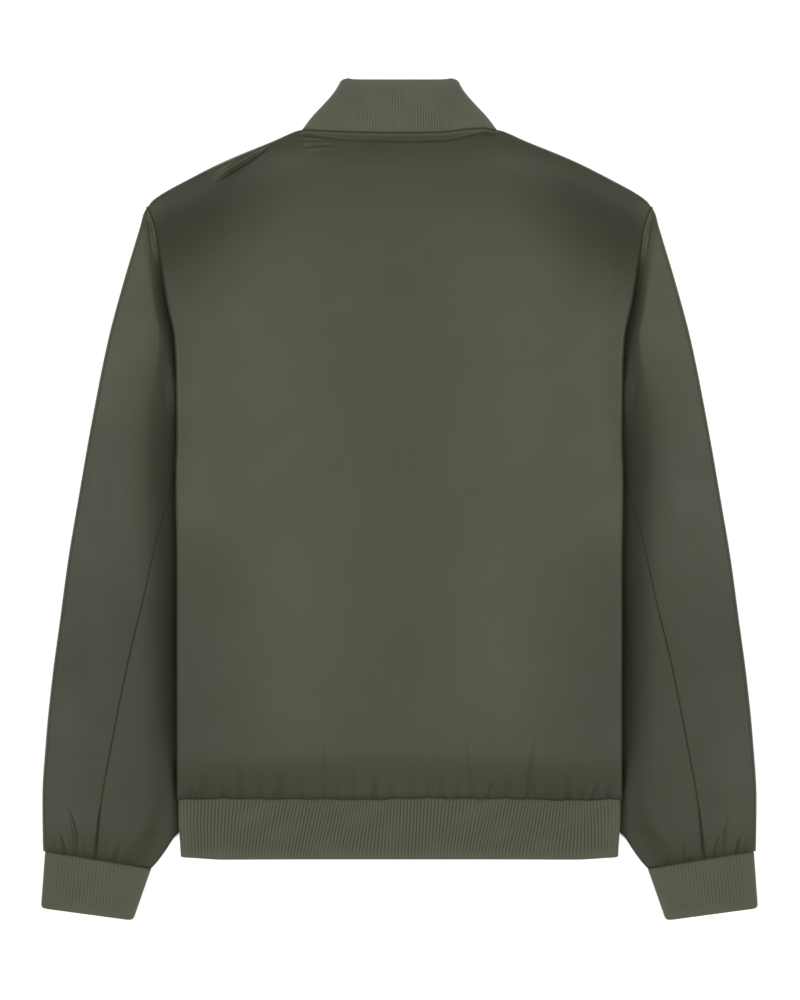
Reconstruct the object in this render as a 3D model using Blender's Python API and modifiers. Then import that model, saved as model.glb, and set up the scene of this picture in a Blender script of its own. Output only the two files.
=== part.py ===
"""Bomber jacket with ribbed collar, cuffs and hem band, laid flat on its zipped front.

X runs across the back, Y from the hem (minus) to the collar (plus), Z up from the ground.
Tables and sizes are in millimetres. Every mesh point becomes metres as it is made.
"""

import math
from collections import namedtuple

import bmesh
import bpy

MM = 0.001

# Cloth and seams
CLOTH = 3.0  # padded satin shell, and double rib knit
SEAM = 0.15  # half of the clearance between two sewn pieces
FOLD = 4.0  # outer radius of the cloth where it turns over an edge
FOLD_TURN = [math.radians(angle) for angle in (45, 0, -45)]  # from the upper layer round to the lower
SMOOTH_ANGLE = math.radians(50)

# Body
HEM_SEAM_Y = -284.0
UNDERARM_Y = 46.0
SHOULDER_END_Y = 275.4
SHOULDER_SLOPE = math.radians(25.4)
NECK_HALF = 89.0
NECK_TURN = 12.0  # beyond the neck, the flat edge turns into the shoulder fold
BACK_NECK_Y = 349.0
BACK_NECK_RISE = 2.6
NECK_POINT_Y = 351.6
FRONT_NECK_DROP = 66.0
NECK_SHARES = (0.0, 0.2, 0.4, 0.6, 0.8, 1.0)  # of the front neck, from the zip to the neck point
PUFF = 1.75  # extra height of the back away from its edges
PUFF_SIDE = 45.0  # length over which it rises from the side, the shoulder, the neck and the hem
PUFF_SHOULDER = 50.0
PUFF_NECK = 18.0
PUFF_HEM = 16.0
PUFF_AT_HEM = 0.25
LOBE_PITCH = 210.0  # the back fills out in two upright lobes
LOBE_RELIEF = 0.12
SHOULDER_HOLLOW = 1.0
HOLLOW_BELOW = 30.0  # from the shoulder to the middle of its hollow
HOLLOW_REACH = 16.0
FRONT_EDGE = 4.9  # from the middle to each front's edge, beside the zip
ARMHOLE_FOLD = math.radians(55.0)
ARMHOLE_UNDER = math.radians(-65.0)
SIDE_SEAM = math.radians(80.0)
SEAM_TURN_UP = 30.0
SEAM_TURN_DOWN = 86.0
SEAM_TURN_CLEARANCE = 3.5  # times the clearance where the side seam winds round the fold
SHOULDER_TURN = (0.5, 1.0)  # levels round the shoulder fold
SIDE_TURN = (1.5, 2.0)  # columns round the side fold
# Columns of a front from its neck to its seam: 1 is where the side fold begins and 2 is the seam
FRONT_COLUMNS = (0.42, 0.53, 0.64, 0.72, 0.80, 0.87, 0.94, 1.0, 1.25, 1.5, 1.75, 2.0)
LIFT_RAMP = 34.0

# Sleeves
TUCKED = 6.3  # two layers pressed together
TUCKED_FOLD = 3.3
SLEEVE_CROWN = 3.4
SLEEVE_SHOULDER = 1.7
SLEEVE_RISE = 30.0
SLEEVE_INNER_RISE = 22.0
SLEEVE_CLEAR = 1.5  # beside the body, before the sleeve starts to rise
CUFF_PULL = 14.0  # length over which the sleeve sinks to the cuff
CUFF_CROWN = 0.4  # share of the crown that is left there
UNDER_SEAM_SHARE = 0.6

# Ribs
RIB_PITCH = 3.2
RIB_RELIEF = 0.35
HEM_EDGE_Y = -341.5
HEM_HALF = 209.3
HEM_TAPER = 2.6  # the band's sides draw in this much, from here down and over this length
HEM_TAPER_Y = -322.0
HEM_TAPER_LENGTH = 16.0
HEM_UNDER_COLUMNS = (0.0, 0.2, 0.4, 0.58, 0.7, 0.78, 0.86, 0.93, 1.0)
CUFF_UNDER_STRIPS = 6
HEM_LAID = 8.0
CUFF_LAID = 7.8
COLLAR_LAID = 7.8
COLLAR_TOP_Y = 399.6
COLLAR_FOLD = 3.6
COLLAR_TOP_DROP = 66.0
EDGE_ROUND = 0.9  # how far a rib's turned edge sinks
# Share of a band's height from its seam, and how far its face sinks there
BAND_LEVELS = ((0.0, 0.0), (0.95, 0.0), (1.0, EDGE_ROUND))
COLLAR_LEVELS = ((0.0, 0.0), (0.5, 0.0), (0.95, 0.0), (1.0, EDGE_ROUND))

# Zip
TAPE_WIDTH = 11.1
TAPE_Z = (3.5, 4.1)
CHAIN_HALF = 2.6
CHAIN_Z = (2.8, 4.8)
ZIP_TOP_Y = 332.0
ZIP_FOOT = 1.0  # from the hem's edge up to the zip's lower end
SLIDER_Y = (316.0, 328.0)
SLIDER_HALF = 4.3
SLIDER_PLATES = ((1.9, 2.5), (5.1, 5.7))
BRIDGE_HALF = 1.2
BRIDGE_Y = (325.5, 327.6)
PULL_AXIS = (321.0, 1.0)  # Y and Z of the pull's hinge
STEM_Y = (317.0, 320.9)
STEM_HALF = 2.0
TAB_Y = (296.0, 318.0)
PULL_HALF = 2.9
PULL_THICK = 0.8
TAB_THICK = 0.7
TAB_CORNER = 0.3
OVERLAP = 0.3  # how far joined blocks run into each other
BARREL_RADIUS = 0.65
BARREL_HALF = 2.3
PIN_RADIUS = 0.32
PIN_HALF = 3.5
LUG_X = (2.6, 3.6)
LUG_Z = (0.1, 2.0)
LUG_HALF = 1.4
LUG_HOLE = 0.5
BARREL_SIDES = 16
PIN_SIDES = 12

Edge = namedtuple("Edge", "y half")
Slope = namedtuple("Slope", "x y")
Lift = namedtuple("Lift", "y plateau height")
Section = namedtuple("Section", "outer_y inner_y")
Crease = namedtuple("Crease", "foot head length depth width")
Gather = namedtuple("Gather", "column length depth")
CollarSide = namedtuple("CollarSide", "t half")
CuffEnd = namedtuple("CuffEnd", "outer inner")
SleevePiece = namedtuple("SleevePiece", "first upper lower gathers")

# Half width of the body: armhole above the underarm, side below it
BODY_SIDE = [
    Edge(-285, 211.2), Edge(57, 211.5), Edge(125, 212.3), Edge(155, 214.4),
    Edge(186, 221.0), Edge(235, 228.8), Edge(257, 232.3), Edge(280, 239.5),
]
# Back of the neck to the point of the shoulder
SHOULDER = [
    Slope(94, 352.0), Slope(101, 349.6), Slope(118, 342.0), Slope(164, 323.0),
    Slope(202, 304.0), Slope(229, 288.8), Slope(236, 283.1), Slope(240, 277.4),
]
# Where and how far the body is held off the ground by the sleeve beneath it
LIFTED = [
    Lift(-341.5, 196, 6.2), Lift(-285, 188, 6.6), Lift(-228, 174, 6.6), Lift(-142, 163, 6.6),
    Lift(-85, 163, 6.6), Lift(-25, 178, 6.6), Lift(15, 206, 6.6), Lift(46, 211, 0.0),
]
SLEEVE_OUTER = [
    Edge(-334, 338.7), Edge(-285, 339.2), Edge(-228, 335.8), Edge(-171, 330.1), Edge(-114, 322.5),
    Edge(-57, 314.9), Edge(0, 305.4), Edge(76, 292.1), Edge(152, 276.9), Edge(209, 261.7),
    Edge(247, 250.3), Edge(263, 245.6), Edge(271, 243.7), Edge(278, 240.4),
]
# Inner fold of the sleeve, under the body down to the hem
SLEEVE_INNER = [
    Edge(-350.6, 238.0), Edge(-344, 230.4), Edge(-332.5, 221.8), Edge(-321, 214.2),
    Edge(-315, 208.5), Edge(-285, 195.0), Edge(-228, 181.0), Edge(-142, 170.0), Edge(-85, 170.0),
    Edge(-28, 187.0), Edge(14, 211.9), Edge(46, 211.9),
]
SLEEVE_SEAM = [
    Edge(-345, 289.5), Edge(-301, 285.0), Edge(-220, 270.9), Edge(-144, 255.3), Edge(-95, 243.8),
    Edge(-28, 230.0), Edge(2, 223.0), Edge(40, 216.6),
]
SLEEVE_SECTIONS = [
    Section(278, 272), Section(264, 248), Section(240, 215), Section(199, 175), Section(143, 125),
    Section(89, 78), Section(55, 46), Section(48, 40), Section(20, 14), Section(-22, -28),
    Section(-74, -80), Section(-126, -134), Section(-176, -186), Section(-218, -229),
    Section(-250, -262), Section(-274, -287), Section(-293, -307), Section(-308, -323),
    Section(-322, -338), Section(-333.8, -350.6),
]
FIRST_UNDER_SECTION = 7
CUFF_SEAM = CuffEnd((336.8, -335.0), (237.4, -352.0))
CUFF_EDGE = CuffEnd((340.8, -387.8), (253.2, -399.6))
BODY_LEVELS = [
    -278, -269, -256, -238, -212, -180, -135, -80, -40, -12, 15, 46, 78, 125, 175, 215, 248,
    SHOULDER_END_Y,
]
# Gathers above the hem band: places across, height, depth and half width of each trough
HEM_CREASES = [
    Crease(-198, -197, 16, 0.7, 4), Crease(-182, -184, 26, 0.9, 4), Crease(-165, -166, 18, 0.7, 4),
    Crease(-148, -150, 30, 0.8, 4), Crease(-130, -130, 20, 0.8, 4), Crease(-111, -109, 34, 1.0, 4),
    Crease(-92, -92, 20, 0.7, 4), Crease(-72, -70, 92, 1.0, 4), Crease(-57, -58, 18, 0.8, 3.5),
    Crease(-42, -48, 44, 0.9, 3.5), Crease(-24, -23, 30, 0.9, 4), Crease(-7, -8, 16, 0.7, 4),
    Crease(10, 10, 22, 0.8, 4), Crease(26, 27, 16, 0.7, 3.5), Crease(40, 38, 26, 0.9, 3.5),
    Crease(54, 56, 20, 0.9, 3.5), Crease(69, 61, 90, 1.0, 4), Crease(83, 90, 30, 1.1, 3.5),
    Crease(101, 103, 18, 0.7, 4), Crease(121, 131, 72, 1.2, 4), Crease(140, 140, 22, 0.8, 4),
    Crease(158, 160, 30, 0.8, 4), Crease(181, 189, 24, 1.1, 4), Crease(198, 198, 16, 0.7, 4),
]
TOP_GATHERS = [Gather(1, 46, 1.0), Gather(3, 24, 0.7), Gather(5, 54, 1.1)]
UNDER_GATHERS = [Gather(1, 26, 0.8), Gather(3, 40, 1.0), Gather(5, 18, 0.8)]
# A sleeve piece's first section, and the strips across its upper and its lower face
TOP_PIECE = SleevePiece(0, 7, 3, TOP_GATHERS)
UNDER_PIECE = SleevePiece(FIRST_UNDER_SECTION, 6, 2, UNDER_GATHERS)
COLLAR_SIDE = [
    CollarSide(0.0, 92.6), CollarSide(0.25, 83.4), CollarSide(0.5, 72.0), CollarSide(0.75, 61.5),
    CollarSide(0.93, 56.2), CollarSide(1.0, 52.6),
]

SHELL_COLOUR = (0.085, 0.090, 0.067)
RIB_COLOUR = (0.090, 0.094, 0.070)
TAPE_COLOUR = (0.045, 0.048, 0.036)
METAL_COLOUR = (0.30, 0.29, 0.27)


# ---------------------------------------------------------------- numbers

def mix(a, b, share):
    return a + (b - a) * share


def ease(share):
    share = min(max(share, 0.0), 1.0)
    return share * share * (3.0 - 2.0 * share)


def steps(count, start=0.0, end=1.0):
    return [mix(start, end, k / count) for k in range(count + 1)]


def along(table, key, value, at):
    """A table's value at a key, on a smooth curve through its rows that never overshoots them."""
    points = sorted((getattr(row, key), getattr(row, value)) for row in table)
    if at <= points[0][0]:
        return points[0][1]
    if at >= points[-1][0]:
        return points[-1][1]
    k = max(i for i, point in enumerate(points) if point[0] <= at)
    slopes = [(b[1] - a[1]) / (b[0] - a[0]) for a, b in zip(points, points[1:])]

    def tangent(i):
        if i in (0, len(points) - 1):
            return slopes[min(i, len(slopes) - 1)]
        before, after = slopes[i - 1], slopes[i]
        return 2 * before * after / (before + after) if before * after > 0 else 0.0

    width = points[k + 1][0] - points[k][0]
    f = (at - points[k][0]) / width
    start = (1 + 2 * f) * (1 - f) ** 2 * points[k][1] + f * (1 - f) ** 2 * width * tangent(k)
    end = f * f * (3 - 2 * f) * points[k + 1][1] + f * f * (f - 1) * width * tangent(k + 1)
    return start + end


# ---------------------------------------------------------------- meshes

def material(name, colour, roughness, metallic=0.0):
    made = bpy.data.materials.new(name)
    made.use_nodes = True
    shader = made.node_tree.nodes["Principled BSDF"]
    shader.inputs["Base Color"].default_value = (*colour, 1.0)
    shader.inputs["Roughness"].default_value = roughness
    shader.inputs["Metallic"].default_value = metallic
    return made


def add_object(name, mesh, collection, finish):
    made = bpy.data.objects.new(name, mesh)
    made.data.materials.clear()
    made.data.materials.append(finish)
    collection.objects.link(made)
    return made


def wall(name, rings, collection, finish, round_closed=False):
    """Closed wall lofted through rings. A ring runs along the outside and back along the inside."""
    mesh = bmesh.new()
    rows = [[mesh.verts.new([c * MM for c in point]) for point in ring] for ring in rings]
    count = len(rows[0])
    pairs = list(zip(rows, rows[1:]))
    if round_closed:
        pairs.append((rows[-1], rows[0]))
    for here, there in pairs:
        for k in range(count):
            after = (k + 1) % count
            mesh.faces.new((here[k], here[after], there[after], there[k]))
    if not round_closed:
        for row in (rows[0], rows[-1]):
            for k in range(count // 2 - (1 - count % 2)):
                corners = [row[k], row[k + 1], row[count - 2 - k], row[count - 1 - k]]
                mesh.faces.new(list(dict.fromkeys(corners)))
    bmesh.ops.recalc_face_normals(mesh, faces=mesh.faces)
    bmesh.ops.triangulate(mesh, faces=mesh.faces, quad_method="SHORT_EDGE")
    data = bpy.data.meshes.new(name)
    mesh.to_mesh(data)
    mesh.free()
    data.shade_smooth()
    data.set_sharp_from_angle(angle=SMOOTH_ANGLE)
    return add_object(name, data, collection, finish)


def ring(outer, inner):
    return outer + inner[::-1]


# ---------------------------------------------------------------- body

def body_half(y):
    """Half width of the body at y, straight between its levels so that the sleeve can follow it."""
    levels = [HEM_SEAM_Y + SEAM, *BODY_LEVELS]
    for low, high in zip(levels, levels[1:]):
        if y <= high:
            ends = [along(BODY_SIDE, "y", "half", level) for level in (low, high)]
            return mix(*ends, (y - low) / (high - low))
    return along(BODY_SIDE, "y", "half", y)


def lift(x, y):
    height = along(LIFTED, "y", "height", y)
    plateau = along(LIFTED, "y", "plateau", y)
    return height * ease((abs(x) - plateau + LIFT_RAMP) / LIFT_RAMP)


def back_neck(x):
    return BACK_NECK_Y + BACK_NECK_RISE * (x / NECK_HALF) ** 2


def front_neck(x):
    return NECK_POINT_Y - FRONT_NECK_DROP * max(0.0, 1.0 - (x / NECK_HALF) ** 2)


def top_line(x, neck):
    """Upper edge of a body panel: neckline, then shoulder."""
    if abs(x) < NECK_HALF:
        return neck(x) - SEAM
    return min(neck(NECK_HALF) - SEAM, along(SHOULDER, "x", "y", abs(x)))


def neck_share(x):
    return 1.0 - ease((abs(x) - NECK_HALF) / NECK_TURN)


def seam_angle(y, armhole_angle):
    """Where round the edge fold a panel ends: on top at the side, and spread open at the armhole."""
    if y <= UNDERARM_Y:
        return SIDE_SEAM * ease((UNDERARM_Y - y) / SEAM_TURN_DOWN)
    return armhole_angle * ease((y - UNDERARM_Y) / SEAM_TURN_UP)


def fold_centre(y, angle):
    """Distance from the middle to the centre of the edge fold."""
    reach = FOLD if y <= UNDERARM_Y else FOLD * math.cos(angle)
    return body_half(y) - SEAM - reach


def puff(x, y, top_y):
    """How far the padding lifts the back over its flat laid thickness."""
    flat = neck_share(x)
    side = ease((body_half(y) - FOLD - abs(x)) / PUFF_SIDE)
    top = ease((top_y - FOLD - y) / mix(PUFF_SHOULDER, PUFF_NECK, flat))
    bottom = mix(PUFF_AT_HEM, 1.0, ease((y - HEM_SEAM_Y) / PUFF_HEM))
    lobes = 1.0 - LOBE_RELIEF * (1.0 + math.cos(2 * math.pi * x / LOBE_PITCH))
    below_shoulder = (top_y - y - HOLLOW_BELOW) / HOLLOW_REACH
    hollow = SHOULDER_HOLLOW * math.exp(-below_shoulder ** 2) * (1.0 - flat)
    return (PUFF * lobes * bottom - hollow) * side * top


def crease_depth(x, y):
    rise = y - HEM_SEAM_Y
    total = 0.0
    for crease in HEM_CREASES:
        middle = mix(crease.foot, crease.head, rise / crease.length)
        fade = ease(1.0 - rise / crease.length)
        total += crease.depth * fade * math.exp(-((x - middle) / crease.width) ** 2)
    return total


def body_point(side, across, level, over, depth, upper):
    """Point of the back (upper) or a front, on its outer face at depth 0 and its inner at CLOTH.

    across runs from 0 at the middle to 1 at the side fold and 2 at the seam.
    level is a height as far as the shoulder fold, and over then runs from 0 to 1 round that fold.
    """
    turn = max(0.0, across - 1.0)
    share = (level - HEM_SEAM_Y - SEAM) / (SHOULDER_END_Y - HEM_SEAM_Y - SEAM)
    armhole = ARMHOLE_FOLD if upper else ARMHOLE_UNDER
    edge = seam_angle(level, armhole)
    flat_angle = math.pi / 2 if upper else -math.pi / 2
    angle = mix(flat_angle, edge, turn)
    start = 0.0 if upper else FRONT_EDGE
    centre = fold_centre(level, edge)
    x = mix(start, centre, min(across, 1.0)) + (FOLD - depth) * math.cos(angle) * (turn > 0)
    x_top = mix(start, fold_centre(SHOULDER_END_Y, armhole), min(across, 1.0))
    x_top += FOLD * math.cos(angle) * (turn > 0)
    flat = neck_share(x_top)
    neck = back_neck if upper else front_neck
    lean = SHOULDER_SLOPE * (1.0 - flat)
    fold_y = top_line(x_top + FOLD * math.sin(lean), neck) - FOLD * math.cos(lean)
    y = mix(HEM_SEAM_Y + SEAM, fold_y, share)
    shoulder = math.pi / 2 * (1.0 - over)
    reach = (FOLD - depth * (1.0 - flat)) * math.cos(shoulder) * (over > 0)
    x += reach * math.sin(lean)
    y += reach * math.cos(lean)
    ground = lift(x, y)
    half = FOLD - depth
    rolled = ground + FOLD + half * math.sin(angle) * mix(math.sin(shoulder), 1.0, flat)
    winding = math.sin(2 * edge) if level < UNDERARM_Y else 0.0
    gap = (SEAM if upper else -SEAM) * mix(1.0, SEAM_TURN_CLEARANCE, winding)
    rolled += gap * math.cos(shoulder) * (over > 0) * (1.0 - flat)
    if turn == 1.0:
        rolled += gap * math.cos(angle) * (over == 0)
        x -= gap * math.sin(angle)
    if upper:
        rolled += puff(x, y, fold_y + FOLD)
        if depth == 0:
            rolled -= crease_depth(side * x, y)
    return (side * x, y, rolled)


def body_levels():
    """Pairs of a level and a share of the way round the shoulder fold."""
    flat = [(level, 0.0) for level in (HEM_SEAM_Y + SEAM, *BODY_LEVELS)]
    return flat + [(SHOULDER_END_Y, over) for over in SHOULDER_TURN]


def body_panel(name, columns, upper, collection, finish):
    """columns: (side, across) pairs from one seam of the panel to the other."""
    rings = []
    for level, over in body_levels():
        faces = []
        for depth in (0.0, CLOTH):
            faces.append([body_point(*column, level, over, depth, upper) for column in columns])
        rings.append(ring(*faces))
    return wall(name, rings, collection, finish)


def back_panel(collection, finish):
    reach = fold_centre(HEM_SEAM_Y + SEAM, SIDE_SEAM)
    troughs = [crease.foot / reach for crease in HEM_CREASES]
    between = [(a + b) / 2 for a, b in zip(troughs, troughs[1:])]
    places = sorted([*troughs, *between, -1.0, 1.0])
    columns = [(-1, turn) for turn in reversed(SIDE_TURN)]
    columns += [(1 if place > 0 else -1, abs(place)) for place in places]
    columns += [(1, turn) for turn in SIDE_TURN]
    return body_panel("back_panel", columns, True, collection, finish)


def front_panel(name, side, collection, finish):
    span = fold_centre(SHOULDER_END_Y, ARMHOLE_UNDER) - FRONT_EDGE
    neck = (NECK_HALF - FRONT_EDGE) / span
    places = [*(neck * share for share in NECK_SHARES), *FRONT_COLUMNS]
    return body_panel(name, [(side, place) for place in places], False, collection, finish)


# ---------------------------------------------------------------- sleeves

def sleeve_line(index):
    """Outer and inner end of a sleeve section in plan, for the side at plus X."""
    section = SLEEVE_SECTIONS[index]
    outer = (along(SLEEVE_OUTER, "y", "half", section.outer_y), section.outer_y)
    if index < FIRST_UNDER_SECTION:
        return outer, (body_half(section.inner_y) + SEAM, section.inner_y)
    return outer, (along(SLEEVE_INNER, "y", "half", section.inner_y), section.inner_y)


def sleeve_height(x, y, from_fold, from_inner, to_cuff):
    """Height of the sleeve's upper face over the ground."""
    clear = ease((x - body_half(y) - SLEEVE_CLEAR) / SLEEVE_RISE)
    crown = SLEEVE_CROWN - SLEEVE_SHOULDER * (1.0 - ease(from_fold / SLEEVE_RISE))
    pull = mix(CUFF_CROWN, 1.0, ease(to_cuff / CUFF_PULL))
    return TUCKED + clear * crown * pull * ease(from_inner / SLEEVE_INNER_RISE)


def sleeve_seam(outer, inner, table_share):
    """Distance from the outer end to the seam, along a section."""
    length = math.dist(outer, inner)
    share = 0.5
    for _ in range(4):
        y = mix(outer[1], inner[1], share)
        seam_x = mix(inner[0], along(SLEEVE_SEAM, "y", "half", y), table_share)
        share = (seam_x - outer[0]) / (inner[0] - outer[0])
    return share * length


def sleeve_ring(side, index, piece):
    """Section of one sleeve piece, from its upper seam round its fold to its lower seam."""
    outer, inner = sleeve_line(index)
    length = math.dist(outer, inner)
    unit = ((inner[0] - outer[0]) / length, (inner[1] - outer[1]) / length)
    closed = index >= FIRST_UNDER_SECTION
    to_cuff = SLEEVE_SECTIONS[index].inner_y - SLEEVE_SECTIONS[-1].inner_y
    upper_seam = sleeve_seam(outer, inner, 1.0) if closed else length
    lower_seam = sleeve_seam(outer, inner, UNDER_SEAM_SHARE) if closed else length

    def place(distance):
        return outer[0] + unit[0] * distance, outer[1] + unit[1] * distance

    def height(distance):
        x, y = place(distance)
        from_inner = length - TUCKED_FOLD - distance if closed else SLEEVE_INNER_RISE
        return sleeve_height(x, y, distance - FOLD, from_inner, to_cuff)

    if piece is TOP_PIECE:
        seams = (upper_seam - SEAM * closed, lower_seam - SEAM * closed)
        centre, reach, turn = FOLD, FOLD, -1
    else:
        seams = (upper_seam + SEAM, lower_seam + SEAM)
        centre, reach, turn = length - TUCKED_FOLD, TUCKED_FOLD, 1
    half_height = height(centre) / 2
    faces = []
    for depth in (0.0, CLOTH):
        points = []
        for column, distance in enumerate(steps(piece.upper, seams[0], centre)):
            z = height(distance) - depth
            for gather in piece.gathers:
                if depth == 0 and gather.column == column:
                    z -= gather.depth * ease(1.0 - to_cuff / gather.length)
            points.append((distance, z))
        for angle in FOLD_TURN:
            distance = centre + turn * (reach - depth) * math.cos(angle)
            points.append((distance, half_height + (half_height - depth) * math.sin(angle)))
        points += [(distance, depth) for distance in steps(piece.lower, centre, seams[1])]
        faces.append([(side * place(d)[0], place(d)[1], z) for d, z in points])
    return ring(*faces)


def sleeve_piece(name, side, piece, collection, finish):
    rings = [sleeve_ring(side, index, piece) for index in range(piece.first, len(SLEEVE_SECTIONS))]
    return wall(name, rings, collection, finish)


# ---------------------------------------------------------------- ribbed bands

def rib(column):
    return RIB_RELIEF * (1 if column % 2 else -1)


def cuff(name, side, collection, finish):
    """Closed rib tube, narrower at its open edge."""
    ribs = 2 * round(math.dist(*CUFF_EDGE) / RIB_PITCH)

    def point(kind, value, t, depth, relief, sink):
        outer = [mix(a, b, t) for a, b in zip(CUFF_SEAM.outer, CUFF_EDGE.outer)]
        inner = [mix(a, b, t) for a, b in zip(CUFF_SEAM.inner, CUFF_EDGE.inner)]
        length = math.dist(outer, inner)
        half = CUFF_LAID / 2
        if kind == "top":
            distance = mix(FOLD, length - FOLD, value)
            z = CUFF_LAID - depth + relief - sink
        elif kind == "under":
            distance = mix(length - FOLD, FOLD, value)
            z = depth + sink
        else:
            reach = (FOLD - depth) * math.cos(value)
            distance = length - FOLD + reach if kind == "inner fold" else FOLD - reach
            z = half + (half - depth) * math.sin(value) * (1.0 - sink / half)
        share = distance / length
        return (side * mix(outer[0], inner[0], share), mix(outer[1], inner[1], share), z)

    columns = [("top", k / ribs, rib(k)) for k in range(ribs + 1)]
    columns += [("inner fold", angle, 0.0) for angle in FOLD_TURN]
    columns += [("under", share, 0.0) for share in steps(CUFF_UNDER_STRIPS)]
    columns += [("outer fold", -angle, 0.0) for angle in FOLD_TURN]
    rings = []
    for kind, value, relief in columns:
        outside = [point(kind, value, t, 0.0, relief, sink) for t, sink in BAND_LEVELS]
        inside = [point(kind, value, t, CLOTH, 0.0, 0.0) for t in (0.0, 1.0)]
        rings.append(ring(outside, inside))
    return wall(name, rings, collection, finish, round_closed=True)


def strip_columns(under, ribs):
    """Columns of a strip from the zip, under one front, over the back and under the other front."""
    columns = [("left under", share, 0.0) for share in under]
    columns += [("left fold", -angle, 0.0) for angle in FOLD_TURN]
    columns += [("top", k / ribs, rib(k)) for k in range(ribs + 1)]
    columns += [("right fold", angle, 0.0) for angle in FOLD_TURN]
    return columns + [("right under", share, 0.0) for share in reversed(under)]


def hem_half(y):
    return HEM_HALF - HEM_TAPER * ease((HEM_TAPER_Y - y) / HEM_TAPER_LENGTH)


def hem_band(collection, finish):
    """One rib strip from the zip, under one front, over the back and under the other front."""
    span = 2 * (hem_half(HEM_SEAM_Y) - FOLD)
    ribs = 2 * round(span / RIB_PITCH)

    def point(kind, value, t, depth, relief, sink):
        y = mix(HEM_SEAM_Y - SEAM, HEM_EDGE_Y, t)
        centre = hem_half(y) - FOLD
        half = HEM_LAID / 2
        if kind == "top":
            x = mix(-centre, centre, value)
            return (x, y, lift(x, y) + HEM_LAID - depth + relief - sink)
        side = -1 if kind.startswith("left") else 1
        if kind.endswith("under"):
            x = side * mix(FRONT_EDGE, centre, value)
            return (x, y, lift(x, y) + depth + sink)
        x = side * (centre + (FOLD - depth) * math.cos(value))
        z = lift(centre, y) + half + (half - depth) * math.sin(value) * (1.0 - sink / half)
        return (x, y, z)

    columns = strip_columns(HEM_UNDER_COLUMNS, ribs)
    rings = []
    for kind, value, relief in columns:
        outside = [point(kind, value, t, 0.0, relief, sink) for t, sink in BAND_LEVELS]
        inside = [point(kind, value, t, CLOTH, 0.0, 0.0) for t in (0.0, 1.0)]
        rings.append(ring(outside, inside))
    return wall("hem_band", rings, collection, finish)


def collar(collection, finish):
    """One rib strip round the neck, its ends beside the zip and its top edge free."""
    seam_half = along(COLLAR_SIDE, "t", "half", 0.0) - COLLAR_FOLD
    top_half = along(COLLAR_SIDE, "t", "half", 1.0) - COLLAR_FOLD
    ribs = 2 * round((seam_half + top_half) / RIB_PITCH)

    def point(kind, value, t, depth, relief, sink):
        centre = along(COLLAR_SIDE, "t", "half", t) - COLLAR_FOLD
        half = COLLAR_LAID / 2
        if kind == "top":
            x = mix(-centre, centre, value)
            seam_y = back_neck(mix(-seam_half, seam_half, value)) + SEAM
            return (x, mix(seam_y, COLLAR_TOP_Y, t), COLLAR_LAID - depth + relief - sink)
        side = -1 if kind.startswith("left") else 1
        if kind.endswith("under"):
            x = side * mix(FRONT_EDGE, centre, value)
            seam_y = front_neck(mix(FRONT_EDGE, NECK_HALF, value)) + SEAM
            top_y = COLLAR_TOP_Y - COLLAR_TOP_DROP * (1.0 - value * value)
            return (x, mix(seam_y, top_y, t), depth + sink)
        x = side * (centre + (COLLAR_FOLD - depth) * math.cos(value))
        z = half + (half - depth) * math.sin(value) * (1.0 - sink / half)
        return (x, mix(NECK_POINT_Y + SEAM, COLLAR_TOP_Y, t), z)

    columns = strip_columns(NECK_SHARES, ribs)
    rings = []
    for kind, value, relief in columns:
        outside = [point(kind, value, t, 0.0, relief, sink) for t, sink in COLLAR_LEVELS]
        inside = [point(kind, value, t, CLOTH, 0.0, 0.0) for t in (0.0, 0.5, 1.0)]
        rings.append(ring(outside, inside))
    return wall("collar", rings, collection, finish)


# ---------------------------------------------------------------- zip

def block(name, x_range, y_range, z_range, collection, finish):
    bpy.ops.mesh.primitive_cube_add(size=1.0)
    made = bpy.context.object
    made.name = name
    ranges = (x_range, y_range, z_range)
    made.location = [(low + high) / 2 * MM for low, high in ranges]
    made.scale = [(high - low) * MM for low, high in ranges]
    bpy.ops.object.transform_apply(location=False, rotation=False, scale=True)
    return settle(made, collection, finish)


def rod(name, radius, half, sides, collection, finish):
    """Rod across the zip, on the pull's hinge axis."""
    y, z = PULL_AXIS
    bpy.ops.mesh.primitive_cylinder_add(vertices=sides, radius=radius * MM, depth=2 * half * MM)
    made = bpy.context.object
    made.name = name
    made.rotation_euler = (0.0, math.pi / 2, 0.0)
    made.location = (0.0, y * MM, z * MM)
    bpy.ops.object.transform_apply(location=False, rotation=True, scale=False)
    return settle(made, collection, finish)


def settle(made, collection, finish):
    for owner in list(made.users_collection):
        owner.objects.unlink(made)
    collection.objects.link(made)
    made.data.materials.clear()
    made.data.materials.append(finish)
    return made


def combine(target, tool, operation):
    cut = target.modifiers.new(tool.name, "BOOLEAN")
    cut.operation = operation
    cut.solver = "EXACT"
    cut.object = tool
    tool.hide_render = True
    tool.display_type = "WIRE"


def zip_tapes_and_chain(collection, tape, metal):
    bottom = HEM_EDGE_Y + ZIP_FOOT
    edge = CHAIN_HALF + 2 * SEAM
    for name, side in (("zip_tape_left", -1), ("zip_tape_right", 1)):
        x_range = sorted((side * edge, side * (edge + TAPE_WIDTH)))
        block(name, x_range, (bottom, ZIP_TOP_Y), TAPE_Z, collection, tape)
    chain_top = BRIDGE_Y[0] - 2 * SEAM
    block("zip_chain", (-CHAIN_HALF, CHAIN_HALF), (bottom, chain_top), CHAIN_Z, collection, metal)


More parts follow.
